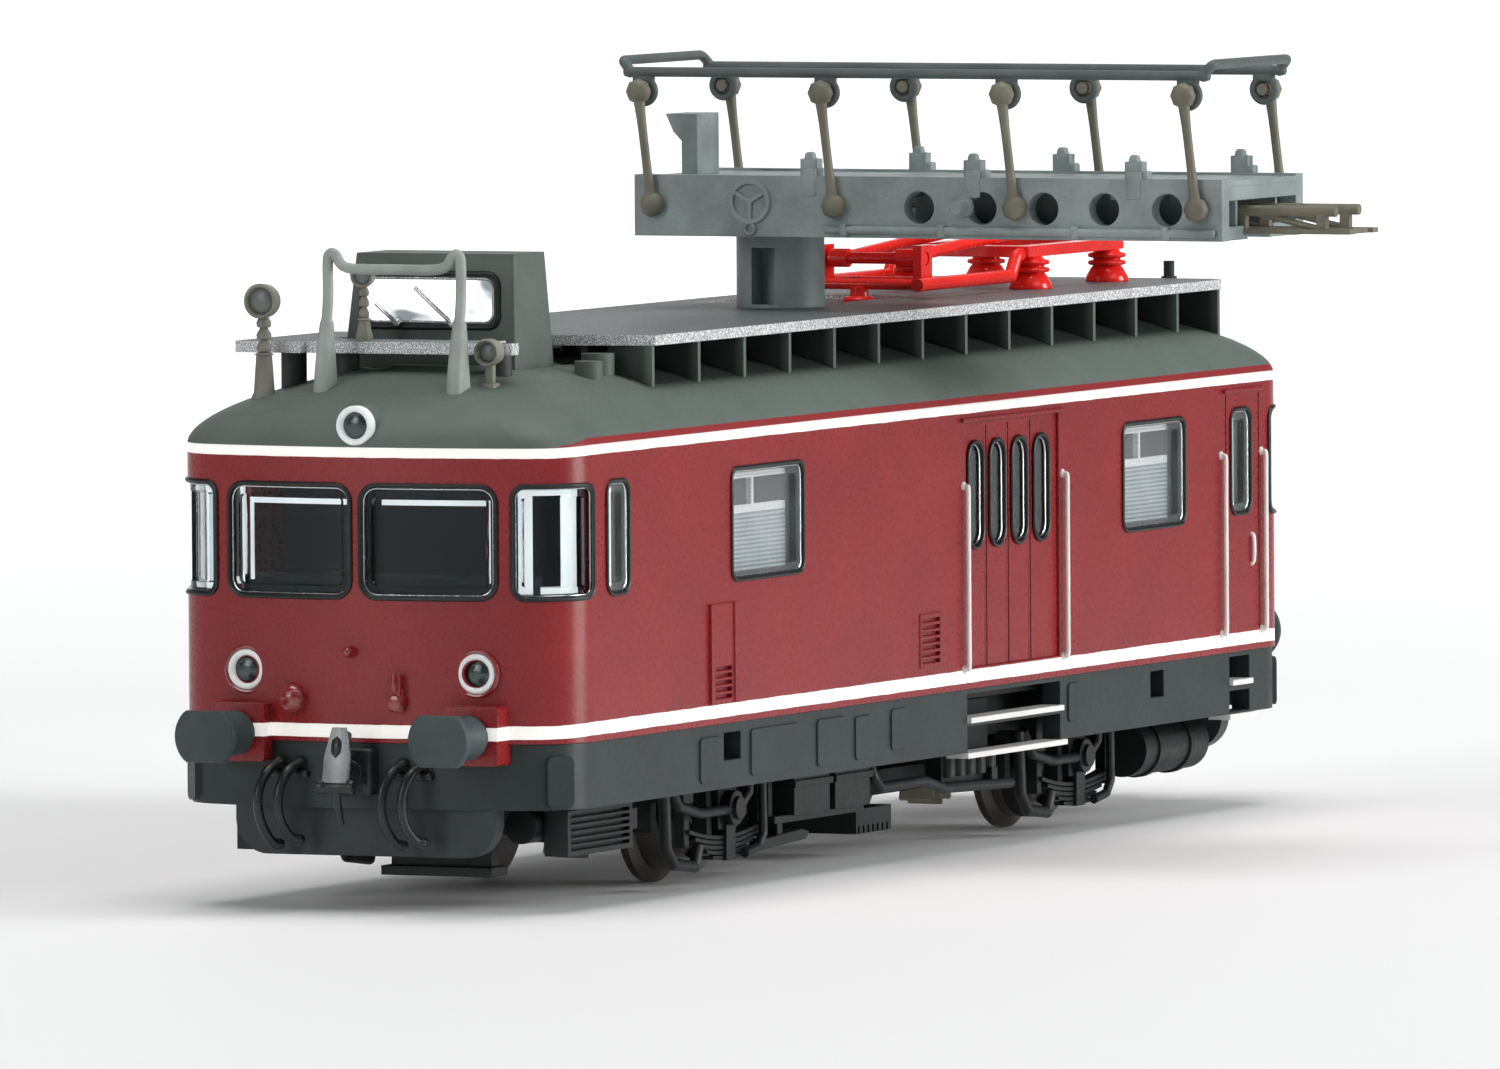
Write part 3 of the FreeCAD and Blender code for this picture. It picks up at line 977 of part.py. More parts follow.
# ---- pantograph, lowered ------------------------------------------------
PAN_X = (22.9, 34.0)
PAN_Y = 3.0
PAN_Z = 24.9
insulators = []
for x, y in ((24.0, -PAN_Y), (24.0, PAN_Y), (32.6, -PAN_Y), (32.6, PAN_Y)):
    bits = [Part.makeCone(0.95, 0.62, 0.8, V(x, y, WALK_TOP), Z)]
    bits.append(cyl(0.5, (x, y, WALK_TOP + 0.8), (x, y, PAN_Z)))
    for k in range(2):
        z = WALK_TOP + 0.9 + 0.28 * k
        bits.append(cyl(0.78, (x, y, z), (x, y, z + 0.14)))
    insulators.append(union(bits))
beams = []
for s in (-1, 1):
    beams.append(box(22.9, 33.6, *sorted((s * 2.6, s * 3.4)), PAN_Z, PAN_Z + 0.5))
    cradle_pts = [(23.3, s * PAN_Y, PAN_Z + 0.2), (22.4, s * PAN_Y, PAN_Z + 0.05), (21.8, s * PAN_Y, 24.1),
                  (11.5, s * PAN_Y, 24.1)]
    beams.append(bent_rod(cradle_pts, 0.3))
    ear = box(12.9, 14.1, *sorted((s * 2.2, s * 2.6)), 24.0, 25.8)
    beams.append(ear)
for x in (23.4, 33.1):
    beams.append(box(x - 0.5, x + 0.5, -3.4, 3.4, PAN_Z, PAN_Z + 0.5))
beams.append(cyl(0.24, (11.9, -3.0, 24.1), (11.9, 3.0, 24.1)))
beams.append(cyl(0.24, (14.6, -3.0, 24.1), (14.6, 3.0, 24.1)))
P0 = (13.5, 25.2)
ARM = 17.5
REST = 3.5
base = union(beams).cut(cyl(0.29, (P0[0], -5, P0[1]), (P0[0], 5, P0[1])))
base = base.cut(walk_main)
save("pantograph_base", base)
stand = union([cyl(0.42, (11.9, 0, WALK_TOP - 0.2), (11.9, 0, 24.0)),
               cyl(0.6, (11.9, 0, WALK_TOP - 0.2), (11.9, 0, 23.6))])
stand = stand.cut(cyl(0.24, (11.9, -3.0, 24.1), (11.9, 3.0, 24.1)))
save("pantograph_insulators", insulators + [stand])
elbow = (P0[0] + ARM * math.cos(math.radians(REST)), P0[1] + ARM * math.sin(math.radians(REST)))
head_z = P0[1] + 2 * ARM * math.sin(math.radians(REST))


def arm(p, q, ys, r0, r1):
    out = [cyl(r0, (p[0], ys[0], p[1]), (q[0], ys[0], q[1]))]
    if len(ys) > 1:
        out.append(cyl(r0, (p[0], ys[1], p[1]), (q[0], ys[1], q[1])))
    return out


low_arm = arm(P0, elbow, (-1.55, 1.55), 0.27, 0.2)
low_arm.append(cyl(0.26, (P0[0], -2.55, P0[1]), (P0[0], 2.55, P0[1])))
low_arm += [cyl(0.42, (P0[0], s * 1.2, P0[1]), (P0[0], s * 2.1, P0[1])) for s in (-1, 1)]
low_arm += [cyl(0.5, (elbow[0], s * 1.25, elbow[1]), (elbow[0], s * 1.85, elbow[1])) for s in (-1, 1)]
cross_x = elbow[0] - 6
cross_z = P0[1] + (cross_x - P0[0]) * math.tan(math.radians(REST))
low_arm.append(cyl(0.22, (cross_x, -1.55, cross_z), (cross_x, 1.55, cross_z)))
elbow_bore = cyl(0.29, (elbow[0], -3, elbow[1]), (elbow[0], 3, elbow[1]))
save("pantograph_lower_arm", union(low_arm).cut(elbow_bore))
HEAD = (P0[0], head_z)
up_arm = [cyl(0.25, (elbow[0], -0.7, elbow[1]), (HEAD[0], -0.7, HEAD[1])),
          cyl(0.25, (elbow[0], 0.7, elbow[1]), (HEAD[0], 0.7, HEAD[1])),
          cyl(0.26, (elbow[0], -1.8, elbow[1]), (elbow[0], 1.8, elbow[1])),
          cyl(0.45, (elbow[0], -1.15, elbow[1]), (elbow[0], 1.15, elbow[1])),
          cyl(0.26, (HEAD[0], -1.5, HEAD[1]), (HEAD[0], 1.5, HEAD[1])),
          cyl(0.4, (HEAD[0], -1.0, HEAD[1]), (HEAD[0], 1.0, HEAD[1]))]
save("pantograph_upper_arm", union(up_arm))
head = []
for s in (-1, 1):
    cheek_box = box(HEAD[0] - 1.2, HEAD[0] + 1.2, *sorted((s * 1.1, s * 1.45)), HEAD[1] - 0.45, HEAD[1] + 0.7)
    head.append(cheek_box)
for x in (HEAD[0] - 1.0, HEAD[0] + 1.0):
    pts = [(x, -5.6, HEAD[1] - 0.1), (x, -4.2, HEAD[1] + 0.6), (x, 4.2, HEAD[1] + 0.6), (x, 5.6, HEAD[1] - 0.1)]
    head.append(bent_rod(pts, 0.24))
head = union(head).cut(cyl(0.29, (HEAD[0], -3, HEAD[1]), (HEAD[0], 3, HEAD[1])))
save("pantograph_head", head)

# ---- rear coupler -------------------------------------------------------
pocket = box(29.5, 36.4, -1.9, 1.9, 3.6, 6.6).cut(box(30.3, 36.5, -1.3, 1.3, 4.4, 5.8))
PIN_X = 31.5
pocket = pocket.cut(cyl(0.45, (PIN_X, 0, 4.2), (PIN_X, 0, 6.0)))
pocket = pocket.cut(prism([(PIN_X, -0.4), (PIN_X, 0.4), (37, 1.9), (37, -1.9)], "z", 4.4, 5.8))
pocket = pocket.cut(Part.makeCompound([box(36.39, 36.5, -5, 5, 3, 7)]))
save("coupler_pocket", pocket)
stem = box(PIN_X - 0.7, 40.4, -0.55, 0.55, 4.75, 5.45)
pin = cyl(0.41, (PIN_X, 0, 4.22), (PIN_X, 0, 5.98))
hook_box = box(40.4, 42.6, -1.6, 1.6, 4.5, 5.7).cut(box(41.1, 43, -0.6, 0.6, 4.4, 5.8))
save("coupler_head", union([stem, pin, hook_box]))
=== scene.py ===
import math
import bmesh
import bpy
from mathutils import Matrix, Vector

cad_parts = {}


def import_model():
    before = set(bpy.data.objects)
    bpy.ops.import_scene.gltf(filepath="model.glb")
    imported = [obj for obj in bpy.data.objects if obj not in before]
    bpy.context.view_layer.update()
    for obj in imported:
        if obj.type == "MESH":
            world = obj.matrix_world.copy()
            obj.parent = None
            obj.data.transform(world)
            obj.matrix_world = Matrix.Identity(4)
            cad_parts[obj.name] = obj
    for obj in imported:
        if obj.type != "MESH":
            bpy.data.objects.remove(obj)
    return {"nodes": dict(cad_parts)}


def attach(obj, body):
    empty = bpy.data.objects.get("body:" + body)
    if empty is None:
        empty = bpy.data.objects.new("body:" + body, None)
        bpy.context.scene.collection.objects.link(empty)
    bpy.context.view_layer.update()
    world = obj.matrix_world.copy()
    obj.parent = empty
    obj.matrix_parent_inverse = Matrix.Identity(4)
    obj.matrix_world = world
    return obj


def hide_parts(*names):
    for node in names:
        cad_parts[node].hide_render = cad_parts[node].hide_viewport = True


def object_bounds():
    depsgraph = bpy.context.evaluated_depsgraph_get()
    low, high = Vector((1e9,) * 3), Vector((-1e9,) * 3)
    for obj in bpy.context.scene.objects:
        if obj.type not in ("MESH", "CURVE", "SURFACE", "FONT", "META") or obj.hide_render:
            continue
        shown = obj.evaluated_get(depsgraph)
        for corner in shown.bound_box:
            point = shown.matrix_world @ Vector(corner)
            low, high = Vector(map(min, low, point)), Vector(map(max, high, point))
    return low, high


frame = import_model()
CAD_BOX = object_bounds()
NODES = frame["nodes"]
MM = 0.001


# ---------------------------------------------------------------- materials (metres)
PAINT_EDGE = 0.00001                # half the soft edge of a painted line
CORNER_X = (0.0365, 0.0385)         # distance from the middle over which the side turns into the end
EAVES_LINE = (0.0188, 0.0194)       # heights of the white lines
SILL_LINE = (0.00692, 0.00748)
MOTTLE = (350, 4, 0.6)              # noise scale, detail and roughness
MOULD_GRAIN = (4200, 3, 0.6)


class Mat:
    """A procedural material being built: helpers add nodes and return sockets."""

    def __init__(self, name):
        self.mat = bpy.data.materials.new(name)
        self.mat.use_nodes = True
        self.tree = self.mat.node_tree
        self.bsdf = self.tree.nodes["Principled BSDF"]
        self.coord = self.tree.nodes.new("ShaderNodeTexCoord").outputs["Object"]

    def node(self, kind, **values):
        n = self.tree.nodes.new(kind)
        for key, value in values.items():
            setattr(n, key, value)
        return n

    def link(self, a, b):
        self.tree.links.new(a, b)

    def put(self, socket, value):
        if isinstance(value, bpy.types.NodeSocket):
            self.link(value, socket)
        else:
            socket.default_value = value

    def math(self, op, a, b=0.0):
        n = self.node("ShaderNodeMath", operation=op)
        self.put(n.inputs[0], a)
        self.put(n.inputs[1], b)
        return n.outputs[0]

    def xyz(self):
        n = self.node("ShaderNodeSeparateXYZ")
        self.link(self.coord, n.inputs[0])
        return n.outputs

    def noise(self, scale, detail, rough=0.5, stretch=None):
        n = self.node("ShaderNodeTexNoise")
        n.inputs["Scale"].default_value = scale
        n.inputs["Detail"].default_value = detail
        n.inputs["Roughness"].default_value = rough
        source = self.coord
        if stretch:
            m = self.node("ShaderNodeMapping")
            m.inputs["Scale"].default_value = stretch
            self.link(self.coord, m.inputs["Vector"])
            source = m.outputs[0]
        self.link(source, n.inputs["Vector"])
        return n.outputs["Fac"]

    def remap(self, fac, lo, hi, a, b):
        n = self.node("ShaderNodeMapRange")
        n.inputs["From Min"].default_value = lo
        n.inputs["From Max"].default_value = hi
        n.inputs["To Min"].default_value = a
        n.inputs["To Max"].default_value = b
        self.link(fac, n.inputs["Value"])
        return n.outputs[0]

    def spread(self, noise, a, b):
        """Noise stretched so that its usual range runs from a to b."""
        return self.remap(noise, 0.3, 0.7, a, b)

    def mottle(self, dark, light):
        """Colour drifting between two tones over a few millimetres."""
        return self.mix(self.remap(self.noise(*MOTTLE), 0.35, 0.65, 0, 1), dark, light)

    def moulded(self, fine):
        """Height of moulded plastic: the grain given and a finer one on top."""
        return self.math("ADD", fine, self.math("MULTIPLY", self.noise(14000, 2), 0.5))

    def mix(self, fac, a, b):
        n = self.node("ShaderNodeMix", data_type="RGBA")
        self.put(n.inputs[0], fac)
        for socket, value in ((n.inputs[6], a), (n.inputs[7], b)):
            if isinstance(value, tuple) and len(value) == 3:
                value = (*value, 1)
            self.put(socket, value)
        return n.outputs[2]

    def below(self, value, edge):
        """1 where the value is under the edge, 0 above it."""
        return self.remap(value, edge - PAINT_EDGE, edge + PAINT_EDGE, 1, 0)

    def band(self, value, lo, hi):
        """1 between lo and hi."""
        above = self.remap(value, lo - PAINT_EDGE, lo + PAINT_EDGE, 0, 1)
        return self.math("MULTIPLY", above, self.below(value, hi))

    def bump(self, height, distance, soften=0.0):
        """Surface relief; soften rounds the moulded edges by that many millimetres."""
        n = self.node("ShaderNodeBump")
        n.inputs["Strength"].default_value = 1.0
        n.inputs["Distance"].default_value = distance
        self.link(height, n.inputs["Height"])
        if soften:
            edge = self.node("ShaderNodeBevel", samples=4)
            edge.inputs["Radius"].default_value = soften * MM
            self.link(edge.outputs[0], n.inputs["Normal"])
        self.link(n.outputs[0], self.bsdf.inputs["Normal"])

    def set(self, **values):
        """Set or link inputs of the shader; an underscore stands for a space."""
        for key, value in values.items():
            self.put(self.bsdf.inputs[key.replace("_", " ")], value)


def rgb(hex_colour):
    """Linear colour from a display hex value."""
    out = []
    for k in (0, 2, 4):
        c = int(hex_colour[k:k + 2], 16) / 255.0
        out.append(c / 12.92 if c <= 0.04045 else ((c + 0.055) / 1.055) ** 2.4)
    return tuple(out)


def shade(colour, factor):
    return tuple(min(1, c * factor) for c in colour)


def plastic(name, colour, rough, grain, tone, spec=0.35, coat=0.0, soften=0.07, glow=0.0):
    """Moulded plastic: faint mottling, fine mould grain, uneven gloss."""
    m = Mat(name)
    fine = m.noise(*MOULD_GRAIN)
    col = m.mottle(shade(colour, 1 - tone), shade(colour, 1 + tone))
    m.set(Base_Color=col, Roughness=m.spread(fine, rough - 0.06, rough + 0.08),
          Specular_IOR_Level=spec, Coat_Weight=coat)
    # glow makes a part shine though it is no lamp: painted light
    if glow:
        m.set(Emission_Color=col, Emission_Strength=glow)
    m.bump(m.moulded(fine), grain, soften)
    return m.mat


def metal(name, colour, rough, streak=(1, 1, 1), grain=4e-6):
    """Bare metal; streak stretches its fine marks along an axis."""
    m = Mat(name)
    fine = m.noise(5000, 4, 0.6, stretch=streak)
    m.set(Base_Color=m.mix(m.spread(fine, 0, 1), shade(colour, 0.8), colour),
          Roughness=m.spread(fine, rough - 0.07, rough + 0.1), Metallic=1.0)
    m.bump(fine, grain)
    return m.mat


RED = rgb("8a1e21")
ROOF = rgb("5e6862")
WHITE = rgb("e9e7e2")
BLACK = (0.0, 0.0, 0.0)


def body_paint():
    """Wine-red satin paint with a white line at the eaves and one along the sill; the lines glow as painted
    light.
    """
    m = Mat("body_paint")
    x, _, z = m.xyz()
    wide = m.noise(260, 4, 0.55)
    fine = m.noise(6500, 3, 0.55)
    red = m.mix(m.spread(wide, 0, 1), shade(RED, 0.9), shade(RED, 1.1))
    jitter = m.math("MULTIPLY", m.math("SUBTRACT", m.noise(900, 2), 0.5), 0.00006)
    lift = m.remap(m.math("ABSOLUTE", x), *CORNER_X, 0.00008, 0)    # the lines sit higher along the sides
    height = m.math("SUBTRACT", m.math("ADD", z, jitter), lift)
    lines = m.math("MAXIMUM", m.band(height, *EAVES_LINE), m.band(height, *SILL_LINE))
    lines = m.math("MULTIPLY", lines, m.remap(m.noise(5000, 2), 0.2, 0.3, 0.8, 1))
    # the white lines also emit light: painted light that brightens the print
    m.set(Base_Color=m.mix(lines, red, WHITE), Roughness=m.spread(fine, 0.24, 0.34),
          Specular_IOR_Level=0.5, Emission_Color=WHITE + (1.0,),
          Emission_Strength=m.math("MULTIPLY", lines, 0.5))
    m.bump(m.math("ADD", fine, m.math("MULTIPLY", m.noise(1500, 2), 0.6)), 3e-6, 0.08)
    return m.mat


def roof_paint():
    """Matt roof grey, painted black as shade under the walkway; along the sides the wine red and its line
    reach a little above the cantrail."""
    m = Mat("roof_paint")
    x, y, z = m.xyz()
    fine = m.noise(*MOULD_GRAIN)
    grey = m.mottle(shade(ROOF, 0.93), shade(ROOF, 1.07))
    # painted shade: the grey goes black under the walkway, except near the front end
    lit = m.math("MAXIMUM", m.remap(m.math("ABSOLUTE", y), 0.0068, 0.0074, 0.25, 1),
                 m.remap(x, -0.0262, -0.0252, 1, 0))
    grey = m.mix(lit, BLACK, grey)
    side = m.remap(m.math("ABSOLUTE", x), *CORNER_X, 1, 0)
    red_top = m.math("ADD", m.math("MULTIPLY", side, 0.00037), 0.01922)
    white_top = m.math("ADD", m.math("MULTIPLY", side, 0.00007), 0.01923)
    red = m.below(m.math("SUBTRACT", z, red_top), 0)
    white = m.below(m.math("SUBTRACT", z, white_top), 0)
    m.set(Base_Color=m.mix(white, m.mix(red, grey, RED), WHITE), Roughness=m.spread(fine, 0.46, 0.6),
          Specular_IOR_Level=0.3)
    m.bump(m.moulded(fine), 1.0e-5)
    return m.mat


def bracket_paint():
    """Roof grey, with painted shade making it darker where a bracket runs back under the walkway."""
    m = Mat("bracket_paint")
    y = m.xyz()[1]
    fine = m.noise(*MOULD_GRAIN)
    # painted shade: dark where the bracket runs under the walkway
    painted_shade_mask = m.remap(m.math("ABSOLUTE", y), 0.0066, 0.0071, 0.3, 1.15)
    grey = m.mottle(shade(ROOF, 0.9), ROOF)
    m.set(Base_Color=m.mix(painted_shade_mask, BLACK, grey), Roughness=m.spread(fine, 0.5, 0.64))
    m.bump(fine, 1.0e-5, 0.05)
    return m.mat


def glare_paint():
    """Painted studio reflection in the cupola window, glowing: bright white with soft dark smudges."""
    m = Mat("cupola_glare")
    blot = m.noise(420, 2, 0.4, stretch=(1, 0.55, 1.3))
    fine = m.noise(3000, 2)
    col = m.mix(m.remap(blot, 0.56, 0.62, 0, 1), (0.95, 0.96, 0.97), (0.16, 0.18, 0.19))
    # the reflection is painted into the colour and made to glow
    m.set(Base_Color=col, Roughness=m.spread(fine, 0.1, 0.2), Emission_Color=col, Emission_Strength=1.3)
    m.bump(fine, 2e-6)
    return m.mat


def walkway_paint():
    """Grey tread plate: a woven relief on top and silver speckle on the edges."""
    m = Mat("walkway_tread")
    x, y, _ = m.xyz()
    normal = m.node("ShaderNodeSeparateXYZ")
    m.link(m.node("ShaderNodeNewGeometry").outputs["Normal"], normal.inputs[0])
    top = m.remap(m.math("ABSOLUTE", normal.outputs[2]), 0.5, 0.8, 0, 1)
    waves = [m.math("SINE", m.math("MULTIPLY", m.math(op, x, y), 9000.0)) for op in ("ADD", "SUBTRACT")]
    weave = m.math("MULTIPLY", *waves)
    grains = m.noise(17000, 2, 0.7)
    edge = m.mix(m.remap(grains, 0.42, 0.6, 0, 1), rgb("8a8d90"), rgb("ffffff"))
    tread = m.mix(m.remap(weave, -0.5, 0.6, 0, 1), rgb("4c5052"), rgb("7d8384"))
    tread = m.mix(m.remap(m.noise(420, 4), 0.35, 0.7, 0, 0.4), tread, rgb("686d6e"))
    m.set(Base_Color=m.mix(top, edge, tread), Roughness=m.spread(grains, 0.3, 0.6), Metallic=0.2)
    m.bump(m.math("ADD", m.math("MULTIPLY", weave, top), m.math("MULTIPLY", grains, 0.8)), 3e-5, 0.06)
    return m.mat


def blind_paint():
    """Pale roller blind with fine ribs under white sash bars."""
    rib, sash = 0.00019, (0.01558, 0.0156)
    m = Mat("blind_ribs")
    z = m.xyz()[2]
    ribs = m.math("SINE", m.math("MULTIPLY", z, 2 * math.pi / rib))
    blind = m.mix(m.remap(ribs, -0.8, 0.8, 0, 1), rgb("7d8e93"), rgb("c2ced1"))
    blind = m.mix(m.spread(m.noise(300, 3), 0, 0.25), blind, rgb("f0f4f4"))
    m.set(Base_Color=m.mix(m.remap(z, *sash, 0, 1), blind, rgb("f4f6f6")), Roughness=0.5)
    m.bump(m.math("ADD", ribs, m.noise(7000, 2)), 2e-5)
    return m.mat


def clear(name, tint):
    """Thick clear moulded glazing with faint flow lines."""
    m = Mat(name)
    flow = m.noise(500, 3, 0.5, stretch=(1, 1, 0.5))
    m.set(Base_Color=m.mix(flow, tint, shade(tint, 0.95)), Roughness=m.spread(flow, 0.02, 0.07),
          Transmission_Weight=1.0, IOR=1.28)
    m.bump(flow, 2e-5)
    return m.mat


def film(name, colour, alpha):
    """Thin clear pane: a faint gloss over what is behind it."""
    m = Mat(name)
    flow = m.noise(600, 3, 0.5, stretch=(1, 1, 0.5))
    m.set(Base_Color=m.mix(flow, colour, shade(colour, 0.7)), Roughness=m.spread(flow, 0.05, 0.12),
          Alpha=alpha, Specular_IOR_Level=0.8)
    m.bump(flow, 2e-5)
    return m.mat


MAT = {
    "knob": plastic("nose_plastic", RED, 0.2, 4e-6, 0.1, spec=0.8, coat=0.6),
    "body": body_paint(),
    "dome": roof_paint(),
    "roof": plastic("roof_plastic", ROOF, 0.55, 1.0e-5, 0.1),
    "glare": glare_paint(),
    "fitting": plastic("roof_fitting", rgb("9ca29d"), 0.42, 1.0e-5, 0.14),
    "lamp": plastic("searchlight_plastic", rgb("88877b"), 0.42, 1.2e-5, 0.2),
    "walk": walkway_paint(),
    "skirt": plastic("skirt_plastic", rgb("2c3434"), 0.4, 9e-6, 0.14),
    "under": plastic("underframe_plastic", rgb("161b1c"), 0.42, 1.4e-5, 0.25),
    "platform": plastic("platform_plastic", rgb("909b9b"), 0.45, 3.0e-5, 0.2, spec=0.45),
    "post": plastic("post_plastic", rgb("7a7767"), 0.45, 1.4e-5, 0.2),
    "rail": plastic("railing_plastic", rgb("5c6463"), 0.42, 1.2e-5, 0.14),
    "red": plastic("pantograph_plastic", rgb("f8251c"), 0.22, 6e-6, 0.12, coat=0.3),
    "buffer": plastic("buffer_plastic", rgb("3d484a"), 0.55, 1.6e-5, 0.2),
    "hose": plastic("hose_rubber", rgb("1d2122"), 0.3, 1.0e-5, 0.2, spec=0.5),
    "seal": plastic("seal_rubber", rgb("121616"), 0.35, 8e-6, 0.2, spec=0.5),
    "white": plastic("white_print", rgb("f2f0ec"), 0.4, 8e-6, 0.06),
    "inside": plastic("interior_plastic", rgb("1c2e31"), 0.8, 2.0e-6, 0.2, spec=0.15, soften=0),
    "blind": blind_paint(),
    "glass": clear("glazing_clear", (0.72, 0.78, 0.79)),
    "film": film("glazing_thin", (0.75, 0.8, 0.8), 0.16),
    # white glowing strips in the cab glazing: painted highlights
    "rim": plastic("painted_glazing_highlight", rgb("f2f3f4"), 0.15, 2.0e-5, 0.1, spec=0.6, soften=0, glow=0.95),
    "link": plastic("coupling_grey", rgb("8b8f90"), 0.3, 1.0e-5, 0.3, spec=0.5),
    "wheel": metal("wheel_blackened", rgb("66625c"), 0.34),
    "lens": plastic("lens_dark", rgb("17302f"), 0.12, 3e-5, 0.3, spec=0.7, coat=0.6),
    "dull_lens": plastic("lens_grey", rgb("6d7370"), 0.3, 1.0e-5, 0.25, spec=0.5),
    # the silver rings glow a little: painted light, as they are no lamps
    "ring": plastic("lamp_ring_silver", rgb("e2e6e6"), 0.28, 6e-6, 0.08, spec=0.6, glow=0.2),
    "bracket": bracket_paint(),
    "bright": metal("trim_bright", rgb("d5d9da"), 0.22),
    "cast": metal("cast_zinc_dark", rgb("5a5c5e"), 0.55, grain=1.5e-5),
    "steel": metal("turned_steel", rgb("b9b9b6"), 0.28, (1, 8, 1)),
    "tyre": plastic("traction_tyre", rgb("17181a"), 0.7, 1.0e-5, 0.2),
    "brass": metal("turned_brass", rgb("b98c43"), 0.3),
    "bronze": metal("spring_bronze", rgb("c08a52"), 0.32),
    "acetal": plastic("gear_acetal", rgb("cfc8b4"), 0.4, 6e-6, 0.08),
    "board": plastic("board_lacquer", rgb("1c5a34"), 0.3, 6e-6, 0.2),
    "magnet": plastic("ferrite", rgb("34343a"), 0.5, 1.0e-5, 0.2),
}

NODE_MATERIAL = {
    "body": ["body_shell", "folding_doors"],
    "dome": ["roof_shell"],
    "roof": ["cupola_shell"],
    "bracket": ["walkway_brackets"],
    "fitting": ["roof_hoop", "searchlights"],
    "walk": ["roof_walkway"],
    "skirt": ["skirt"],
    "under": ["side_frames", "underframe_boxes", "keeper_plate", "screw_coupling", "coupler_head",
              "coupler_pocket"],
    "platform": ["platform_frame", "platform_deck", "control_desk", "mast"],
    "rail": ["railing_top"],
    "post": ["post_pair_1", "post_pair_2", "post_pair_3", "post_pair_4", "extension_ladder"],
    "red": ["pantograph_insulators", "pantograph_base", "pantograph_lower_arm", "pantograph_upper_arm",
            "pantograph_head"],
    "buffer": ["buffers"],
    "hose": ["brake_hoses"],
    "seal": ["window_seals"],
    "white": ["handrails", "door_steps"],
    "inside": ["interior"],
    "blind": ["window_blinds"],
    "film": ["side_glazing"],
    "glass": ["cab_glazing"],
    "lens": ["light_guides"],
    "ring": ["lamp_rings"],
    "cast": ["chassis_frame", "ballast_weights"],
    "steel": ["motor_can", "motor_shaft", "armature", "screws"],
    "wheel": ["wheels_front", "wheels_rear"],
    "tyre": ["traction_tyres"],
    "brass": ["flywheels"],
    "bronze": ["motor_brushes", "pickup_strips"],
    "acetal": ["axle_front", "axle_rear", "worms", "worm_covers"],
    "board": ["circuit_board"],
    "magnet": ["motor_magnets"],
}
for key, names in NODE_MATERIAL.items():
    for name in names:
        mesh = NODES[name].data
        mesh.materials.clear()
        mesh.materials.append(MAT[key])


# ---------------------------------------------------------------- mesh helpers (millimetres)
def finish_mesh(name, bm, mat, body, smooth=40):
    """Turn a bmesh in millimetres into a piece that rides on a body."""
    bmesh.ops.remove_doubles(bm, verts=bm.verts, dist=1e-5)
    bmesh.ops.recalc_face_normals(bm, faces=bm.faces)
    bmesh.ops.scale(bm, vec=(MM, MM, MM), verts=bm.verts)
    me = bpy.data.meshes.new(name)
    bm.to_mesh(me)
    bm.free()
    me.materials.append(MAT[mat])
    me.shade_smooth()
    me.set_sharp_from_angle(angle=math.radians(smooth))
    obj = bpy.data.objects.new(name, me)
    bpy.context.scene.collection.objects.link(obj)
    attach(obj, body)
    return obj


def frame_of(axis):
    """Two directions square to an axis, and the axis itself."""
    w = Vector(axis).normalized()
    u = w.orthogonal().normalized()
    return u, w.cross(u), w


def skin(bm, rings, closed=False, caps=(True, True)):
    """Faces between rings of vertices, with end caps unless the row of rings is closed."""
    n = len(rings[0])
    pairs = list(zip(rings, rings[1:]))
    if closed:
        pairs.append((rings[-1], rings[0]))
    for a, b in pairs:
        for k in range(n):
            bm.faces.new((a[k], a[(k + 1) % n], b[(k + 1) % n], b[k]))
    for ring, cap in ((rings[0], caps[0]), (rings[-1], caps[1])):
        if cap and not closed:
            bm.faces.new(ring)


def scaled(profile, r, h=1.0):
    """A (radius, height) profile scaled in both directions."""
    return [(a * r, b * h) for a, b in profile]


def lathe(bm, profile, centre, axis, segments, flat=None):
    """Turn (radius, height) points about an axis; flat cuts off top and bottom at that share of radius."""
    u, v, w = frame_of(axis)
    if abs(w.z) < 0.9:
        u = Vector((0, 0, 1)).cross(w).normalized()
        v = Vector((0, 0, 1))
    rings = []
    for r, t in profile:
        ring = []
        for k in range(segments):
            a = 2 * math.pi * k / segments
            p = u * (r * math.cos(a)) + v * (r * math.sin(a))
            if flat and abs(p.z) > flat * r:
                p.z = math.copysign(flat * r, p.z)
            ring.append(bm.verts.new(Vector(centre) + p + w * t))
        rings.append(ring)
    skin(bm, rings, caps=(profile[0][0] > 1e-6, profile[-1][0] > 1e-6))


def smooth_path(points, steps):
    """Points along an open Catmull-Rom curve."""
    pts = [Vector(p) for p in points]
    out = []
    for i, (p1, p2) in enumerate(zip(pts, pts[1:])):
        p0 = pts[i - 1] if i > 0 else p1 * 2 - p2
        p3 = pts[i + 2] if i + 2 < len(pts) else p2 * 2 - p1
        for k in range(steps):
            t = k / steps
            out.append(0.5 * (p1 * 2 + (p2 - p0) * t + (p0 * 2 - p1 * 5 + p2 * 4 - p3) * t * t
                              + (p1 * 3 - p0 - p2 * 3 + p3) * t ** 3))
    return out + [pts[-1]]


def sweep(bm, path, radius, segments, closed=False, up=(0, 0, 1)):
    """Round bar along a path; radius may be a function of how far along it is."""
    n = len(path)
    rings = []
    last = None
    for i, p in enumerate(path):
        a = path[(i - 1) % n] if closed or i else p
        b = path[(i + 1) % n] if closed or i < n - 1 else p
        t = (b - a).normalized()
        side = t.cross(Vector(up)) if last is None else last - t * last.dot(t)
        if side.length < 1e-6:
            side = t.orthogonal()
        side.normalize()
        last = side
        other = t.cross(side)
        r = radius(i / (n - 1)) if callable(radius) else radius
        angles = [2 * math.pi * k / segments for k in range(segments)]
        rings.append([bm.verts.new(p + side * (r * math.cos(a)) + other * (r * math.sin(a)))
                      for a in angles])
    skin(bm, rings, closed)


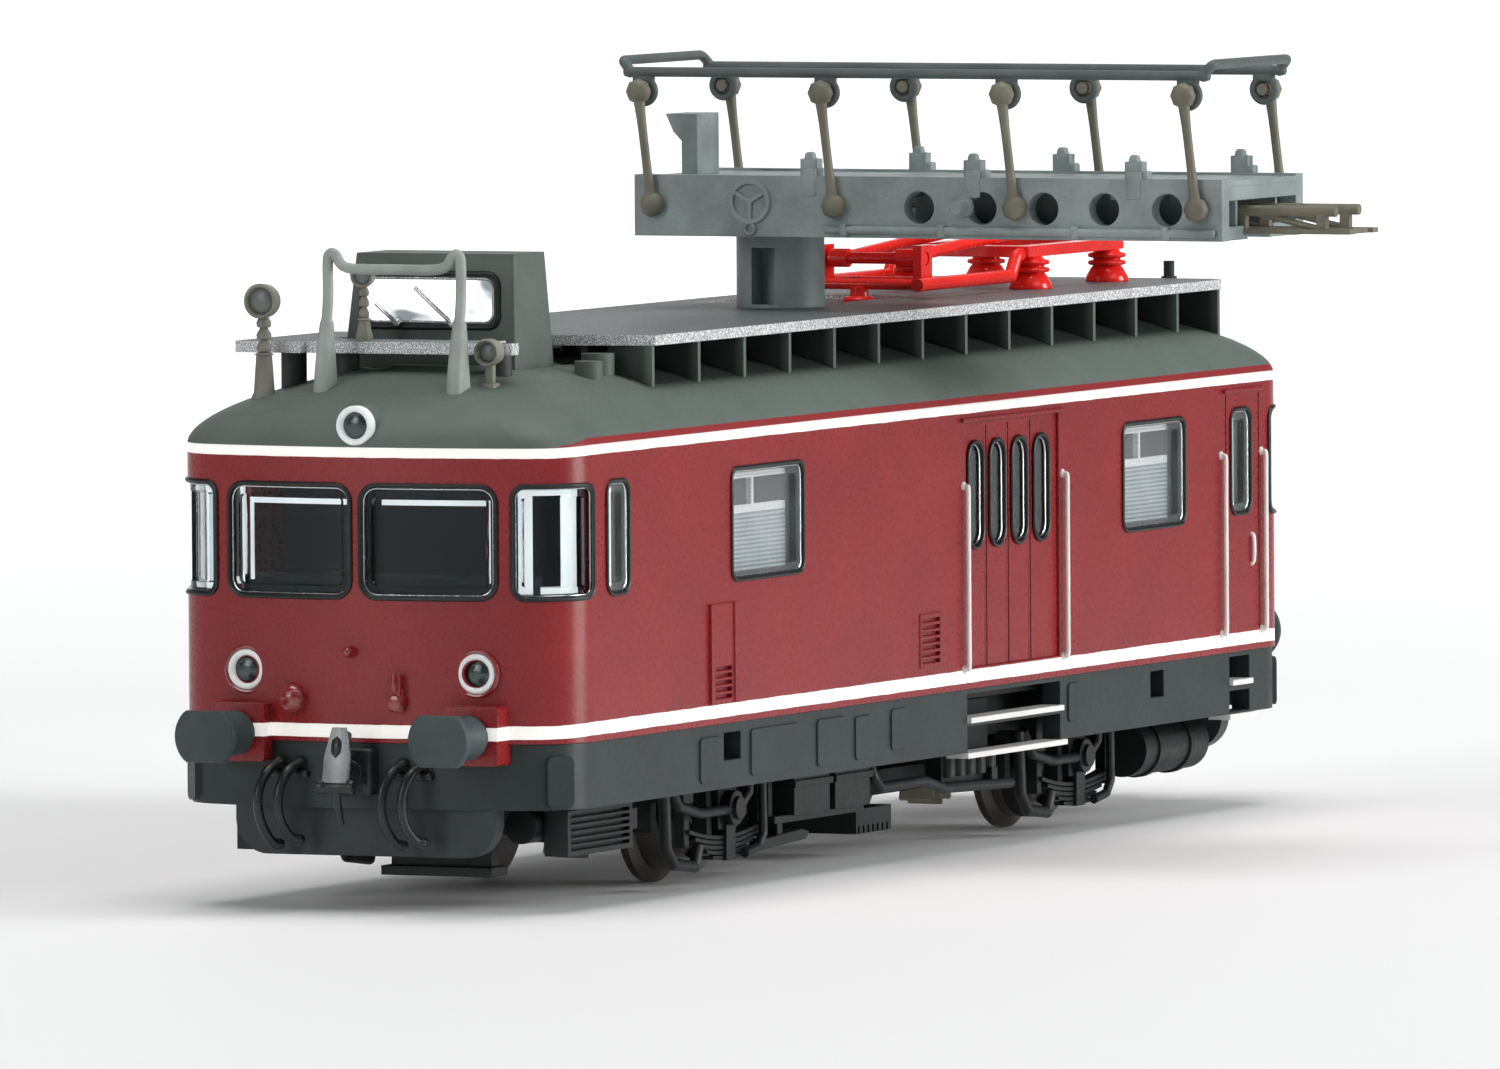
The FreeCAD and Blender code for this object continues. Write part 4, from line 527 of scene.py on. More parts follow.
def block(bm, lo, hi, edge, taper=(1.0, 1.0)):
    """Box with rounded edges; taper narrows its top along x and y."""
    part = bmesh.new()
    bmesh.ops.create_cube(part, size=1.0)
    c = [(a + b) / 2.0 for a, b in zip(lo, hi)]
    s = [b - a for a, b in zip(lo, hi)]
    for v in part.verts:
        k = taper if v.co.z > 0 else (1.0, 1.0)
        v.co = Vector((c[0] + v.co.x * s[0] * k[0], c[1] + v.co.y * s[1] * k[1], c[2] + v.co.z * s[2]))
    bmesh.ops.bevel(part, geom=part.edges[:], offset=edge, segments=3, profile=0.5, affect="EDGES")
    me = bpy.data.meshes.new("block")
    part.to_mesh(me)
    part.free()
    bm.from_mesh(me)
    bpy.data.meshes.remove(me)


# outline of the body: bowed ends, round corners, straight sides
END_X, END_DEPTH, HALF_W, CORNER_R = 39.95, 3.65, 9.37, 2.8
CX, CY = END_X - END_DEPTH, HALF_W - CORNER_R  # centre of the corner arc
BOW = (CY * CY + END_DEPTH ** 2 - CORNER_R ** 2) / (2.0 * (END_DEPTH - CORNER_R))
TURN = math.atan2(CY, CX - (END_X - BOW))      # where the bowed end meets the corner arc
BOW_LEN = BOW * TURN
ARC_LEN = CORNER_R * (math.pi / 2 - TURN)
SIDE_S = BOW_LEN + ARC_LEN + CX                 # outline length at x = 0


def bow_x(y):
    """Distance from the middle to the bowed end, at a distance y from the centre line."""
    return END_X - BOW + math.sqrt(BOW * BOW - y * y)


def wall_point(s, inset):
    """Point on the front-left quarter, inset from the face: s runs from the middle of the front end
    (0) along the bow, round the corner and back along the side, in millimetres of outline."""
    if s < BOW_LEN:
        a = s / BOW
        n = Vector((-math.cos(a), -math.sin(a), 0))
        return Vector((-(END_X - BOW), 0, 0)) + n * (BOW - inset)
    if s < BOW_LEN + ARC_LEN:
        a = TURN + (s - BOW_LEN) / CORNER_R
        n = Vector((-math.cos(a), -math.sin(a), 0))
        return Vector((-CX, -CY, 0)) + n * (CORNER_R - inset)
    return Vector((-CX + s - BOW_LEN - ARC_LEN, -HALF_W + inset, 0))


def rounded_loop(a0, a1, b0, b1, r):
    """Rectangle with round corners, as (a, b) points."""
    steps = 6
    corners = ((a1 - r, b1 - r, 0), (a0 + r, b1 - r, 90), (a0 + r, b0 + r, 180), (a1 - r, b0 + r, 270))
    pts = []
    for ca, cb, start in corners:
        for k in range(steps + 1):
            a = math.radians(start + 90.0 * k / steps)
            pts.append((ca + r * math.cos(a), cb + r * math.sin(a)))
    return pts


def dense(loop):
    """A closed loop with points added wherever two are more than a step apart."""
    step = 0.35
    out = []
    for p, q in zip(loop, loop[1:] + loop[:1]):
        n = max(1, int(math.hypot(q[0] - p[0], q[1] - p[1]) / step))
        out += [(p[0] + (q[0] - p[0]) * k / n, p[1] + (q[1] - p[1]) * k / n) for k in range(n)]
    return out


def wall_loop(loop, inset, flip_x, flip_y):
    """Lay an (outline length, height) loop on the wall."""
    out = []
    for s, z in dense(loop):
        p = wall_point(s, inset)
        out.append(Vector((p.x * flip_x, p.y * flip_y, z)))
    return out


# ---------------------------------------------------------------- pieces
# windows: x from, x to, bottom, top, corner radius; those of the ends share one height
WINDOW_Z = (12.78, 17.7)
SIDE_WINDOWS = [(-22.3, -14.75, 12.75, 17.68, 0.6), (19.6, 26.7, 12.75, 17.68, 0.6)]
SLIT_WINDOWS = [(-34.95, -32.6, 12.8, 17.75, 0.7), (31.8, 34.2, 12.9, 17.8, 0.7)]
DOOR_WINDOWS = [(c - 0.88, c + 0.88, 12.85, 17.65, 0.84) for c in (3.65, 6.0, 8.4, 10.8)]
PANE_S = (0.16, 6.38)                   # front pane, along the outline
CORNER_TURN = math.radians(43)          # way the corner window faces


def corner_s(lateral):
    """Outline length of a point on the corner window, measured along its own width."""
    along = Vector((math.sin(CORNER_TURN), -math.cos(CORNER_TURN), 0))
    lo, hi = BOW_LEN - 4.0, SIDE_S - CX + 2.0
    for _ in range(40):
        mid = (lo + hi) / 2.0
        if (wall_point(mid, 0) - Vector((-CX, -CY, 0))).dot(along) < lateral:
            lo = mid
        else:
            hi = mid
    return lo


CORNER_S = (corner_s(-1.7), corner_s(2.15))


def window_loop(s0, s1, z0, z1, r, shrink):
    """Outline of a window, drawn in by shrink."""
    return rounded_loop(s0 + shrink, s1 - shrink, z0 + shrink, z1 - shrink, max(0.12, r - shrink))


def window_loops(shrink):
    """Window outlines on the front-left quarter, one for each mirror image: (loop, flip_x, flip_y)."""
    out = []
    for x0, x1, z0, z1, r in SIDE_WINDOWS + SLIT_WINDOWS:
        loop = window_loop(SIDE_S + x0, SIDE_S + x1, z0, z1, r, shrink)
        out += [(loop, 1, 1), (loop, 1, -1)]
    pane = window_loop(*PANE_S, *WINDOW_Z, 0.8, shrink)
    corner = window_loop(*CORNER_S, *WINDOW_Z, 0.6, shrink)
    for fx in (1, -1):
        for fy in (1, -1):
            out += [(pane, fx, fy), (corner, fx, fy)]
    return out


def bead(name, shrink, inset, radius, mat, recess):
    """A fine round bead following every window; those in the doors lie deeper by the recess."""
    bm = bmesh.new()
    for loop, fx, fy in window_loops(shrink):
        sweep(bm, wall_loop(loop, inset, fx, fy), radius, 8, closed=True)
    for x0, x1, z0, z1, r in DOOR_WINDOWS:
        loop = window_loop(SIDE_S + x0, SIDE_S + x1, z0, z1, r, shrink)
        for fy in (1, -1):
            sweep(bm, wall_loop(loop, inset + recess, 1, fy), radius, 8, closed=True)
    finish_mesh(name, bm, mat, "chassis")


def wall_strip(bm, s0, s1, z0, z1, inset, fx, fy, step):
    """Thin solid strip lying along the wall."""
    thick = 0.1
    n = max(1, int((s1 - s0) / step))
    rings = []
    for i in range(n + 1):
        s = s0 + (s1 - s0) * i / n
        ring = []
        for dep, z in ((inset, z0), (inset, z1), (inset + thick, z1), (inset + thick, z0)):
            p = wall_point(s, dep)
            ring.append(bm.verts.new((p.x * fx, p.y * fy, z)))
        rings.append(ring)
    skin(bm, rings)


def painted_glazing_highlights():
    """Painted highlights: glowing white strips along the edges of the thick cab mouldings, seen through the
    panes.
    """
    bm = bmesh.new()
    z0, z1 = WINDOW_Z
    a, b = CORNER_S
    corner = ((a + 0.2, a + 0.95, z0 + 0.25, z1 - 0.25), (b - 1.5, b - 0.2, z0 + 0.25, z1 - 0.25),
              (a + 0.2, b - 0.2, z1 - 0.5, z1 - 0.25), (a + 1.4, b - 0.2, z0 + 0.25, z0 + 0.55))
    front = ((0.85, 5.7, z1 - 0.95, z1 - 0.72), (5.72, 5.86, z0 + 0.7, z1 - 0.72))
    for fx in (1, -1):
        for fy in (1, -1):
            for strip in corner:
                wall_strip(bm, *strip, 0.8, fx, fy, 0.15)
            for strip in front:
                wall_strip(bm, *strip, 0.95, fx, fy, 0.3)
    for x0, x1, low, top, _ in SLIT_WINDOWS:
        s0, s1 = SIDE_S + x0, SIDE_S + x1
        slit = ((s0 + 0.25, s1 - 0.25, top - 0.62, top - 0.22),
                (s0 + 0.25, s1 - 0.25, low + 0.2, low + 0.48),
                (s1 - 0.5, s1 - 0.25, low + 0.2, top - 0.25))
        for fy in (1, -1):
            for strip in slit:
                wall_strip(bm, *strip, 0.75, 1, fy, 0.3)
    finish_mesh("painted_glazing_highlights", bm, "rim", "chassis")


def cupola_trim():
    """Rubber and glare pane of the cupola window; its two wipers share a piece with the bright line."""
    glass_x = -31.0
    loop = dense(rounded_loop(-2.6, 3.85, 23.95, 26.25, 0.5))
    bm = bmesh.new()
    sweep(bm, [Vector((glass_x - 0.12, y, z)) for y, z in loop], 0.12, 8, closed=True)
    finish_mesh("cupola_seal_bead", bm, "seal", "chassis")
    inner = dense(rounded_loop(-2.38, 3.63, 24.17, 26.03, 0.4))
    bm = bmesh.new()
    sweep(bm, [Vector((glass_x - 0.16, y, z)) for y, z in inner], 0.07, 8, closed=True)
    for low, top in (((3.1, 24.95), (2.1, 24.15)), ((1.25, 25.65), (-0.5, 24.15))):
        a = Vector((glass_x - 0.34, *top))
        b = Vector((glass_x - 0.3, *low))
        sweep(bm, smooth_path([a, a.lerp(b, 0.5) + Vector((-0.05, 0, 0)), b], 6), 0.11, 10)
        lathe(bm, [(0.0, -0.12), (0.2, -0.1), (0.22, 0.0), (0.16, 0.16), (0.0, 0.2)],
              (glass_x - 0.25, *top), (-1, 0, 0), 16)
    finish_mesh("cupola_wipers", bm, "bright", "chassis")
    bm = bmesh.new()
    block(bm, (glass_x - 0.09, -2.4, 24.16), (glass_x, 3.65, 26.04), 0.03)
    finish_mesh("cupola_pane_glare", bm, "glare", "chassis")


def roof_hoop():
    """Guard hoop: two leaning legs with flat blades and a dished cross bar."""
    bm = bmesh.new()
    x, leg_y = -36.0, (3.1, -3.15)
    foot = x - 0.2
    bar = [(foot, 3.1, 24.2), (x, 3.1, 25.4), (x, 3.1, 26.9), (x, 2.98, 27.25), (x, 2.75, 27.2),
           (x, 2.4, 26.75), (x, 1.7, 26.6), (x, 0.0, 26.6), (x, -1.75, 26.6), (x, -2.45, 26.75),
           (x, -2.8, 27.2), (x, -3.03, 27.25), (x, -3.15, 26.9), (x, -3.15, 25.4), (foot, -3.15, 24.2)]
    sweep(bm, smooth_path(bar, 7), 0.23, 14)
    steps, round_off = 10, 0.12
    for y in leg_y:
        rings = []
        for i in range(steps + 1):
            t = i / steps
            z = 24.35 - 3.5 * t
            fore = x - 0.4 - 0.62 * t - 0.12 * math.sin(math.pi * t)
            aft = x + 0.12 + 0.3 * t
            w = 0.26 + 0.06 * t
            edge = [(fore, -w * 0.5), (fore + round_off, -w), (aft - round_off, -w), (aft, -w * 0.5)]
            edge += [(ex, -ey) for ex, ey in reversed(edge)]
            rings.append([bm.verts.new((ex, y + ey, z)) for ex, ey in edge])
        skin(bm, rings)
        lathe(bm, [(0.0, -0.2), (0.3, -0.18), (0.3, 0.05), (0.23, 0.3)], (x - 0.16, y, 24.2), (0, 0, 1), 16)
    piece = finish_mesh("guard_hoop", bm, "fitting", "chassis")
    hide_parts("roof_hoop")


def drum_lamp(bm, glass, x, y, z, r, base, cone):
    """Drum headlight facing forward on a ringed neck and a tapered eight-sided foot."""
    forward, up = (-1, 0, 0), (0, 0, 1)
    drum = [(0, -0.62), (0.55, -0.6), (0.92, -0.42), (1, -0.2), (1, 0.34), (1.04, 0.4), (1.04, 0.56),
            (0.98, 0.6), (0.86, 0.6), (0.82, 0.5), (0.8, 0.3), (0, 0.3)]
    lathe(bm, scaled(drum, r, r), (x, y, z), forward, 36)
    lathe(glass, scaled([(0.8, 0.28), (0.6, 0.4), (0.3, 0.47), (0, 0.49)], r, r), (x, y, z), forward, 32)
    neck = [(0.62, cone), (0.45, cone + 0.08)]
    top = z - 0.9 * r
    gap = (top - cone - 0.1) / 3.0
    for k in range(3):
        h = cone + 0.1 + gap * k
        neck += [(0.24, h + 0.02), (0.42, h + 0.1 * gap), (0.45, h + 0.5 * gap), (0.3, h + 0.85 * gap)]
    neck += [(0.2, top), (0.2, z - 0.5 * r)]
    lathe(bm, [(a * r, h - base) for a, h in neck], (x, y, base), up, 24)
    foot = [(0.78, 0.0), (0.8, 0.25), (0.66, 0.4), (0.5, cone - base), (0.0, cone - base)]
    lathe(bm, scaled(foot, r), (x, y, base), up, 8)


def searchlights():
    """Two drum lamps on necks and a low spot lamp on a cranked bracket."""
    bm, glass = bmesh.new(), bmesh.new()
    drum_lamp(bm, glass, -35.9, 6.2, 25.2, 0.72, 20.9, 22.9)
    drum_lamp(bm, glass, -33.0, 2.85, 26.2, 0.5, 23.4, 24.3)
    x, y, z, r = -35.1, -4.05, 23.1, 0.58
    spot = [(0.0, -0.8), (0.34, -0.78), (0.5, -0.5), (r, -0.1), (r, 0.32), (r * 0.96, 0.42),
            (r * 0.84, 0.42), (r * 0.8, 0.3), (r * 0.76, 0.05), (0.0, 0.05)]
    lathe(bm, spot, (x, y, z), (-1, 0, 0), 36)
    lathe(glass, [(r * 0.76, 0.03), (r * 0.5, 0.16), (0.0, 0.22)], (x, y, z), (-1, 0, 0), 32)
    block(bm, (x - 0.1, y - 0.2, 21.6), (x + 0.22, y + 0.2, 22.6), 0.07)
    block(bm, (x - 0.35, y - 0.4, 20.7), (x + 0.5, y + 0.4, 21.8), 0.1, (0.8, 0.8))
    lamps = finish_mesh("searchlight_set", bm, "lamp", "chassis")
    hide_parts("searchlights")
    finish_mesh("searchlight_lenses", glass, "dull_lens", "chassis", 60)


HEADLAMP_Y, HEADLAMP_Z = 5.4, 9.7
ROOF_LAMP_X, ROOF_LAMP_Z = 39.94, 20.15


def lamp_bezels():
    """Silver rings with dished dark lenses: two low on each end, and one above in a grey sleeve."""
    bm, glass, collar = bmesh.new(), bmesh.new(), bmesh.new()
    lamps = [(-HEADLAMP_Y, HEADLAMP_Z, 0.86), (HEADLAMP_Y, HEADLAMP_Z, 0.86), (0.0, ROOF_LAMP_Z, 0.84)]
    for s in (-1, 1):
        for y, z, r in lamps:
            high = z == ROOF_LAMP_Z
            place, axis = (s * (ROOF_LAMP_X if high else bow_x(y)), y, z), (s, 0, 0)
            back = -0.3 if high else -1.4
            bezel = [(0.66, back - 0.1), (1, back), (1, 0.02), (0.96, 0.12), (0.86, 0.16), (0.76, 0.12),
                     (0.7, 0.03), (0.68, -0.25), (0.6, back - 0.1)]
            lathe(bm, scaled(bezel, r), place, axis, 40)
            if high:
                sleeve = [(0, -1.9), (0.96, -1.9), (0.98, -0.36), (0.7, -0.33), (0, -0.33)]
                lathe(collar, scaled(sleeve, r), place, axis, 40)
            lens = [(0.69, -0.12), (0.5, -0.02), (0.25, 0.04), (0, 0.05)]
            lathe(glass, scaled(lens, r), place, axis, 32)
    rings = finish_mesh("lamp_bezels", bm, "ring", "chassis")
    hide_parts("lamp_rings")
    finish_mesh("lamp_lenses", glass, "lens", "chassis", 60)
    finish_mesh("roof_lamp_sleeves", collar, "dome", "chassis")


def buffer_set():
    """Four buffers: stepped stocks and domed heads with cut-off top and bottom."""
    bm = bmesh.new()
    stock = [(0.0, 0.0), (0.95, 0.2), (0.95, 0.5), (0.86, 0.62), (0.84, 1.9), (0.78, 2.02), (0.62, 2.06),
             (0.6, 2.75), (0.0, 2.75)]
    head = [(0.0, 2.62), (0.8, 2.64), (1.3, 2.8), (1.42, 2.94), (1.42, 3.1), (1.34, 3.22), (1.0, 3.27),
            (0.0, 3.3)]
    for sx in (-1, 1):
        for sy in (-1, 1):
            c = (sx * 40.3, sy * 5.47, 7.06)
            lathe(bm, stock, c, (sx, 0, 0), 32)
            lathe(bm, head, c, (sx, 0, 0), 48, flat=0.775)
    piece = finish_mesh("buffer_set", bm, "buffer", "chassis")
    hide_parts("buffers")


def hose_girth(t):
    """Radius of a brake hose along its length, with a ferrule near each end."""
    return 0.21 + 0.1 * max(0.0, 1 - abs(t - 0.16) / 0.05) + 0.06 * max(0.0, 1 - abs(t - 0.93) / 0.08)


def hose_set():
    """Brake hoses on the front end: collar, bowed hose and the coupling head curling back."""
    bm = bmesh.new()
    collar = [(0.0, 0.0), (0.34, 0.0), (0.38, 0.1), (0.38, 0.4), (0.3, 0.5), (0.27, 0.62), (0.0, 0.62)]
    for y, low in ((3.7, 2.3), (2.75, 2.5), (-2.1, 2.35), (-3.05, 2.5)):
        path = [(-39.2, y, 5.7), (-39.9, y, 5.8), (-40.7, y + 0.2, 5.4), (-41.1, y + 0.4, 4.5),
                (-41.0, y + 0.35, 3.4), (-40.4, y + 0.1, low + 0.15), (-39.95, y - 0.15, low + 0.02)]
        sweep(bm, smooth_path(path, 7), hose_girth, 14)
        lathe(bm, collar, (-39.2, y, 5.65), (-1, 0, 0.05), 8)
        block(bm, (-40.0, y - 0.42, 5.15), (-39.3, y + 0.42, 5.5), 0.1)
    piece = finish_mesh("hose_set", bm, "hose", "chassis")
    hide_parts("brake_hoses")


def coupling_set():
    """Front draw hook with a screw coupling hanging from it, and the flat link beside them."""
    bm = bmesh.new()
    block(bm, (-40.6, -0.95, 4.5), (-39.3, 0.95, 6.5), 0.16)
    hook = [(-39.9, 0, 5.6), (-40.8, 0, 5.5), (-41.45, 0, 5.85), (-41.6, 0, 6.6), (-41.3, 0, 7.2)]
    sweep(bm, smooth_path(hook, 7), lambda t: 0.52 - 0.12 * t, 12)
    pin_x, pin_z = -42.0, 4.95
    pin = [(0.0, -0.85), (0.2, -0.84), (0.3, -0.6), (0.3, 0.6), (0.2, 0.84), (0.0, 0.85)]
    lathe(bm, pin, (pin_x, 0, pin_z), (0, 1, 0), 16)
    for s in (-1, 1):
        lathe(bm, [(0.0, -0.16), (0.3, -0.14), (0.34, 0.0), (0.3, 0.14), (0.0, 0.16)],
              (pin_x, s * 0.72, pin_z), (0, 1, 0), 14)
    tail = [(pin_x, 0, 4.9), (-41.85, 0, 4.1), (-41.5, 0, 3.35)]
    sweep(bm, smooth_path(tail, 6), lambda t: 0.22 - 0.08 * t, 10)
    piece = finish_mesh("coupling_set", bm, "hose", "chassis")
    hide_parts("screw_coupling")
    bm = bmesh.new()
    rings = []
    for t in (0.0, 0.15, 0.3, 0.5, 0.7, 0.85, 1.0):
        x, z = -41.62 - 0.5 * t, 7.45 - 2.6 * t
        w = 0.3 + 0.28 * min(1.0, t * 2.2)
        edge = [(x + 0.12, -w), (x + 0.12, w), (x - 0.1, w), (x - 0.16, w * 0.7), (x - 0.16, -w * 0.7),
                (x - 0.1, -w)]
        rings.append([bm.verts.new((ex, ey, z)) for ex, ey in edge])
    skin(bm, rings)
    finish_mesh("coupling_link", bm, "link", "chassis")


# work platform and its folding railing
MAST_X, DECK_HALF, POST_Y = 3.5, 4.5, (4.05, -4.75, -13.45, -22.1)
PIVOT_Z, POST_LEN, RAIL_LIFT, CHEEK = 28.1, 5.0, 0.85, 0.8
LEAN = math.radians(6.9)
EAR_DY = POST_LEN * math.sin(LEAN)
EAR_Z = PIVOT_Z + POST_LEN * math.cos(LEAN)
RAIL_Z = EAR_Z + RAIL_LIFT


def turned(points, radius):
    """Polyline with its corners turned to arcs."""
    steps = 5
    pts = [Vector(p) for p in points]
    out = [pts[0]]
    for a, b, c in zip(pts, pts[1:], pts[2:]):
        u, v = (a - b).normalized(), (c - b).normalized()
        reach = min(radius, 0.45 * (a - b).length, 0.45 * (c - b).length)
        for k in range(steps + 1):
            t = k / steps
            out.append((b + u * reach) * (1 - t) ** 2 + b * (2 * t * (1 - t)) + (b + v * reach) * t * t)
    out.append(pts[-1])
    return out


def knob(bm, centre, axis, r, painted_shade_mask):
    """Bolt head with eight flats and a domed middle."""
    profile = [(0.0, 0.0), (0.9, 0.0), (1, 0.15), (1, 0.6), (0.8, 0.85), (0.45, 1), (0.0, 1.06)]
    lathe(bm, scaled(profile, r, painted_shade_mask), centre, axis, 8)


def hoop(x, y, z, r, count):
    """Points round a circle that stands across x."""
    angles = [2 * math.pi * k / count for k in range(count)]
    return [Vector((x, y + r * math.sin(a), z + r * math.cos(a))) for a in angles]


def posts():
    """Railing posts, thicker towards the bolt heads at both ends."""
    for k, y in enumerate(POST_Y):
        bm = bmesh.new()
        for s in (-1, 1):
            face = MAST_X + s * DECK_HALF
            xs = face + s * 0.3
            low, top = Vector((xs, y, PIVOT_Z)), Vector((xs, y + EAR_DY, EAR_Z))
            for end in (low, top):
                knob(bm, (face + s * 0.03, end.y, end.z), (s, 0, 0), 0.56, 0.62)
            line = [low.lerp(top, 0.02 + 0.96 * t / 12.0) for t in range(13)]
            sweep(bm, line, lambda t: 0.2 + 0.1 * abs(2 * t - 1) ** 3, 14, up=(0, 1, 0))
            lathe(bm, [(0.0, 0.0), (0.33, 0.0), (0.33, CHEEK)],
                  (face - s * (CHEEK - 0.05), y, PIVOT_Z), (s, 0, 0), 20)
            lathe(bm, [(0.0, 0.0), (0.26, 0.0), (0.26, 0.62)], (face - s * 0.55, top.y, EAR_Z), (s, 0, 0), 20)
        piece = finish_mesh("post_pair_%d_shape" % (k + 1), bm, "post", "posts_%d" % (k + 1))
        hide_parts("post_pair_%d" % (k + 1))


def railing():
    """Top rails hung on round eyes, joined by bowed ends."""
    bm = bmesh.new()
    ears = [y + EAR_DY for y in POST_Y]
    y_lo, y_hi = ears[-1] - 0.7, ears[0] + 0.6
    xa, xb = MAST_X - DECK_HALF + 0.3, MAST_X + DECK_HALF - 0.3
    rod, eye = 0.22, 0.52
    for x in (xa, xb):
        sweep(bm, [Vector((x, y_lo - 0.1, RAIL_Z)), Vector((x, y_hi + 0.1, RAIL_Z))], rod, 14, up=(1, 0, 0))
    for y, s in ((y_lo, -1), (y_hi, 1)):
        yo, zo = y + s * 0.45, RAIL_Z + 0.5
        loop = turned([(xa, y, RAIL_Z), (xa, yo, zo), (xb, yo, zo), (xb, y, RAIL_Z)], 0.3)
        sweep(bm, loop, rod, 14, up=(0, 1, 0.3))
        for x in (xa, xb):
            lathe(bm, [(0.0, -0.3), (0.2, -0.26), (0.27, 0.0), (0.2, 0.26), (0.0, 0.3)],
                  (x, y + s * 0.05, RAIL_Z), (0, 1, 0), 14)
    for x in (xa, xb):
        for y in ears:
            sweep(bm, hoop(x, y, EAR_Z, eye, 28), 0.17, 10, closed=True, up=(1, 0, 0))
            block(bm, (x - 0.16, y - 0.5, EAR_Z + 0.35), (x + 0.16, y + 0.5, RAIL_Z), 0.08)
    piece = finish_mesh("railing_frame", bm, "rail", "top_rail")
    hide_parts("railing_top")


def insulators():
    """Ribbed pantograph insulators on round foot flanges, and the plain one under the head."""
    bm = bmesh.new()
    profile = [(0.0, 0.0), (0.98, 0.0), (1.0, 0.1), (0.92, 0.3), (0.74, 0.62), (0.66, 0.7)]
    for h in (0.72, 0.72 + 0.34):
        profile += [(0.64, h), (0.84, h + 0.05), (0.88, h + 0.14), (0.84, h + 0.23), (0.62, h + 0.28)]
    profile += [(0.55, 1.45), (0.0, 1.45)]
    for x in (24.0, 32.6):
        for y in (-3.0, 3.0):
            lathe(bm, profile, (x, y, 23.45), (0, 0, 1), 32)
    rest = [(0.0, 0.0), (0.72, 0.0), (0.72, 0.2), (0.6, 0.3), (0.44, 0.32), (0.42, 0.75)]
    lathe(bm, rest, (11.9, 0, 23.25), (0, 0, 1), 24)
    piece = finish_mesh("insulator_set", bm, "red", "chassis")
    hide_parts("pantograph_insulators")


def platform_details():
    """Rounded brackets, pipe clips, a bolt head and the small idler ring on the work platform."""
    bm = bmesh.new()
    for s, ys in ((-1, (-3.4, -11.25, -18.95)), (1, (-4.95, -11.9, -20.45))):
        x = MAST_X + s * (DECK_HALF - 0.4)
        for y in ys:
            block(bm, (x - 0.34, y - 0.42, 28.9), (x + 0.34, y + 0.42, 30.18), 0.16, (1.0, 0.85))
            block(bm, (x - 0.3, y - 0.26, 29.9), (x + 0.2, y + 0.3, 30.45), 0.12, (0.8, 0.7))
            block(bm, (x - 0.3, y - 0.68, 29.2), (x + 0.3, y - 0.3, 29.75), 0.1)
            low, high = sorted((x + s * 0.3, x + s * 0.44))
            block(bm, (low, y - 0.42, 28.5), (high, y + 0.3, 29.7), 0.06)
        face = MAST_X + s * DECK_HALF
        low, high = sorted((face - 0.05, face + s * 0.36))
        for y in (-5.2, -9.9, -16.3, -20.6):
            block(bm, (low, y - 0.16, 26.78), (high, y + 0.16, 27.32), 0.05)
    face = MAST_X - DECK_HALF
    sweep(bm, hoop(face - 0.06, -0.6, 27.05, 0.24, 24), 0.08, 10, closed=True, up=(1, 0, 0))
    bolt = (face, -10.9, PIVOT_Z)
    knob(bm, bolt, (-1, 0, 0), 0.34, 0.85)
    lathe(bm, [(0.0, 0.0), (0.5, 0.0), (0.44, 0.2), (0.34, 0.24), (0.0, 0.24)], bolt, (-1, 0, 0), 18)
    finish_mesh("platform_fittings", bm, "platform", "platform")


def handrail_set():
    """White grab rails with small end sockets, and the rear door handles."""
    bm = bmesh.new()
    wall, bend, bar = 9.3, 9.52, 9.62          # distances from the centre line
    for x, z0, z1 in ((2.15, 7.6, 15.7), (12.95, 7.6, 15.75), (30.75, 7.6, 15.7), (35.35, 7.6, 15.7)):
        for s in (-1, 1):
            pts = [(wall, z1), (bend, z1 - 0.02), (bar, z1 - 0.16), (bar, z1 - 1.5),
                   (bar, z0 + 1.5), (bar, z0 + 0.16), (bend, z0 + 0.02), (wall, z0)]
            sweep(bm, smooth_path([(x, s * y, z) for y, z in pts], 5), 0.115, 12, up=(1, 0, 0))
            for z in (z0, z1):
                lathe(bm, [(0.0, 0.0), (0.2, 0.0), (0.18, 0.1), (0.0, 0.12)],
                      (x, s * wall + s * 0.05, z), (0, s, 0), 14)
    for s in (-1, 1):
        handle = [(34.2, s * y, z) for y, z in ((wall, 12.0), (9.5, 11.85), (9.5, 10.8), (wall, 10.6))]
        sweep(bm, smooth_path(handle, 5), 0.1, 10, up=(1, 0, 0))
    piece = finish_mesh("handrail_set", bm, "white", "chassis")
    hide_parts("handrails")


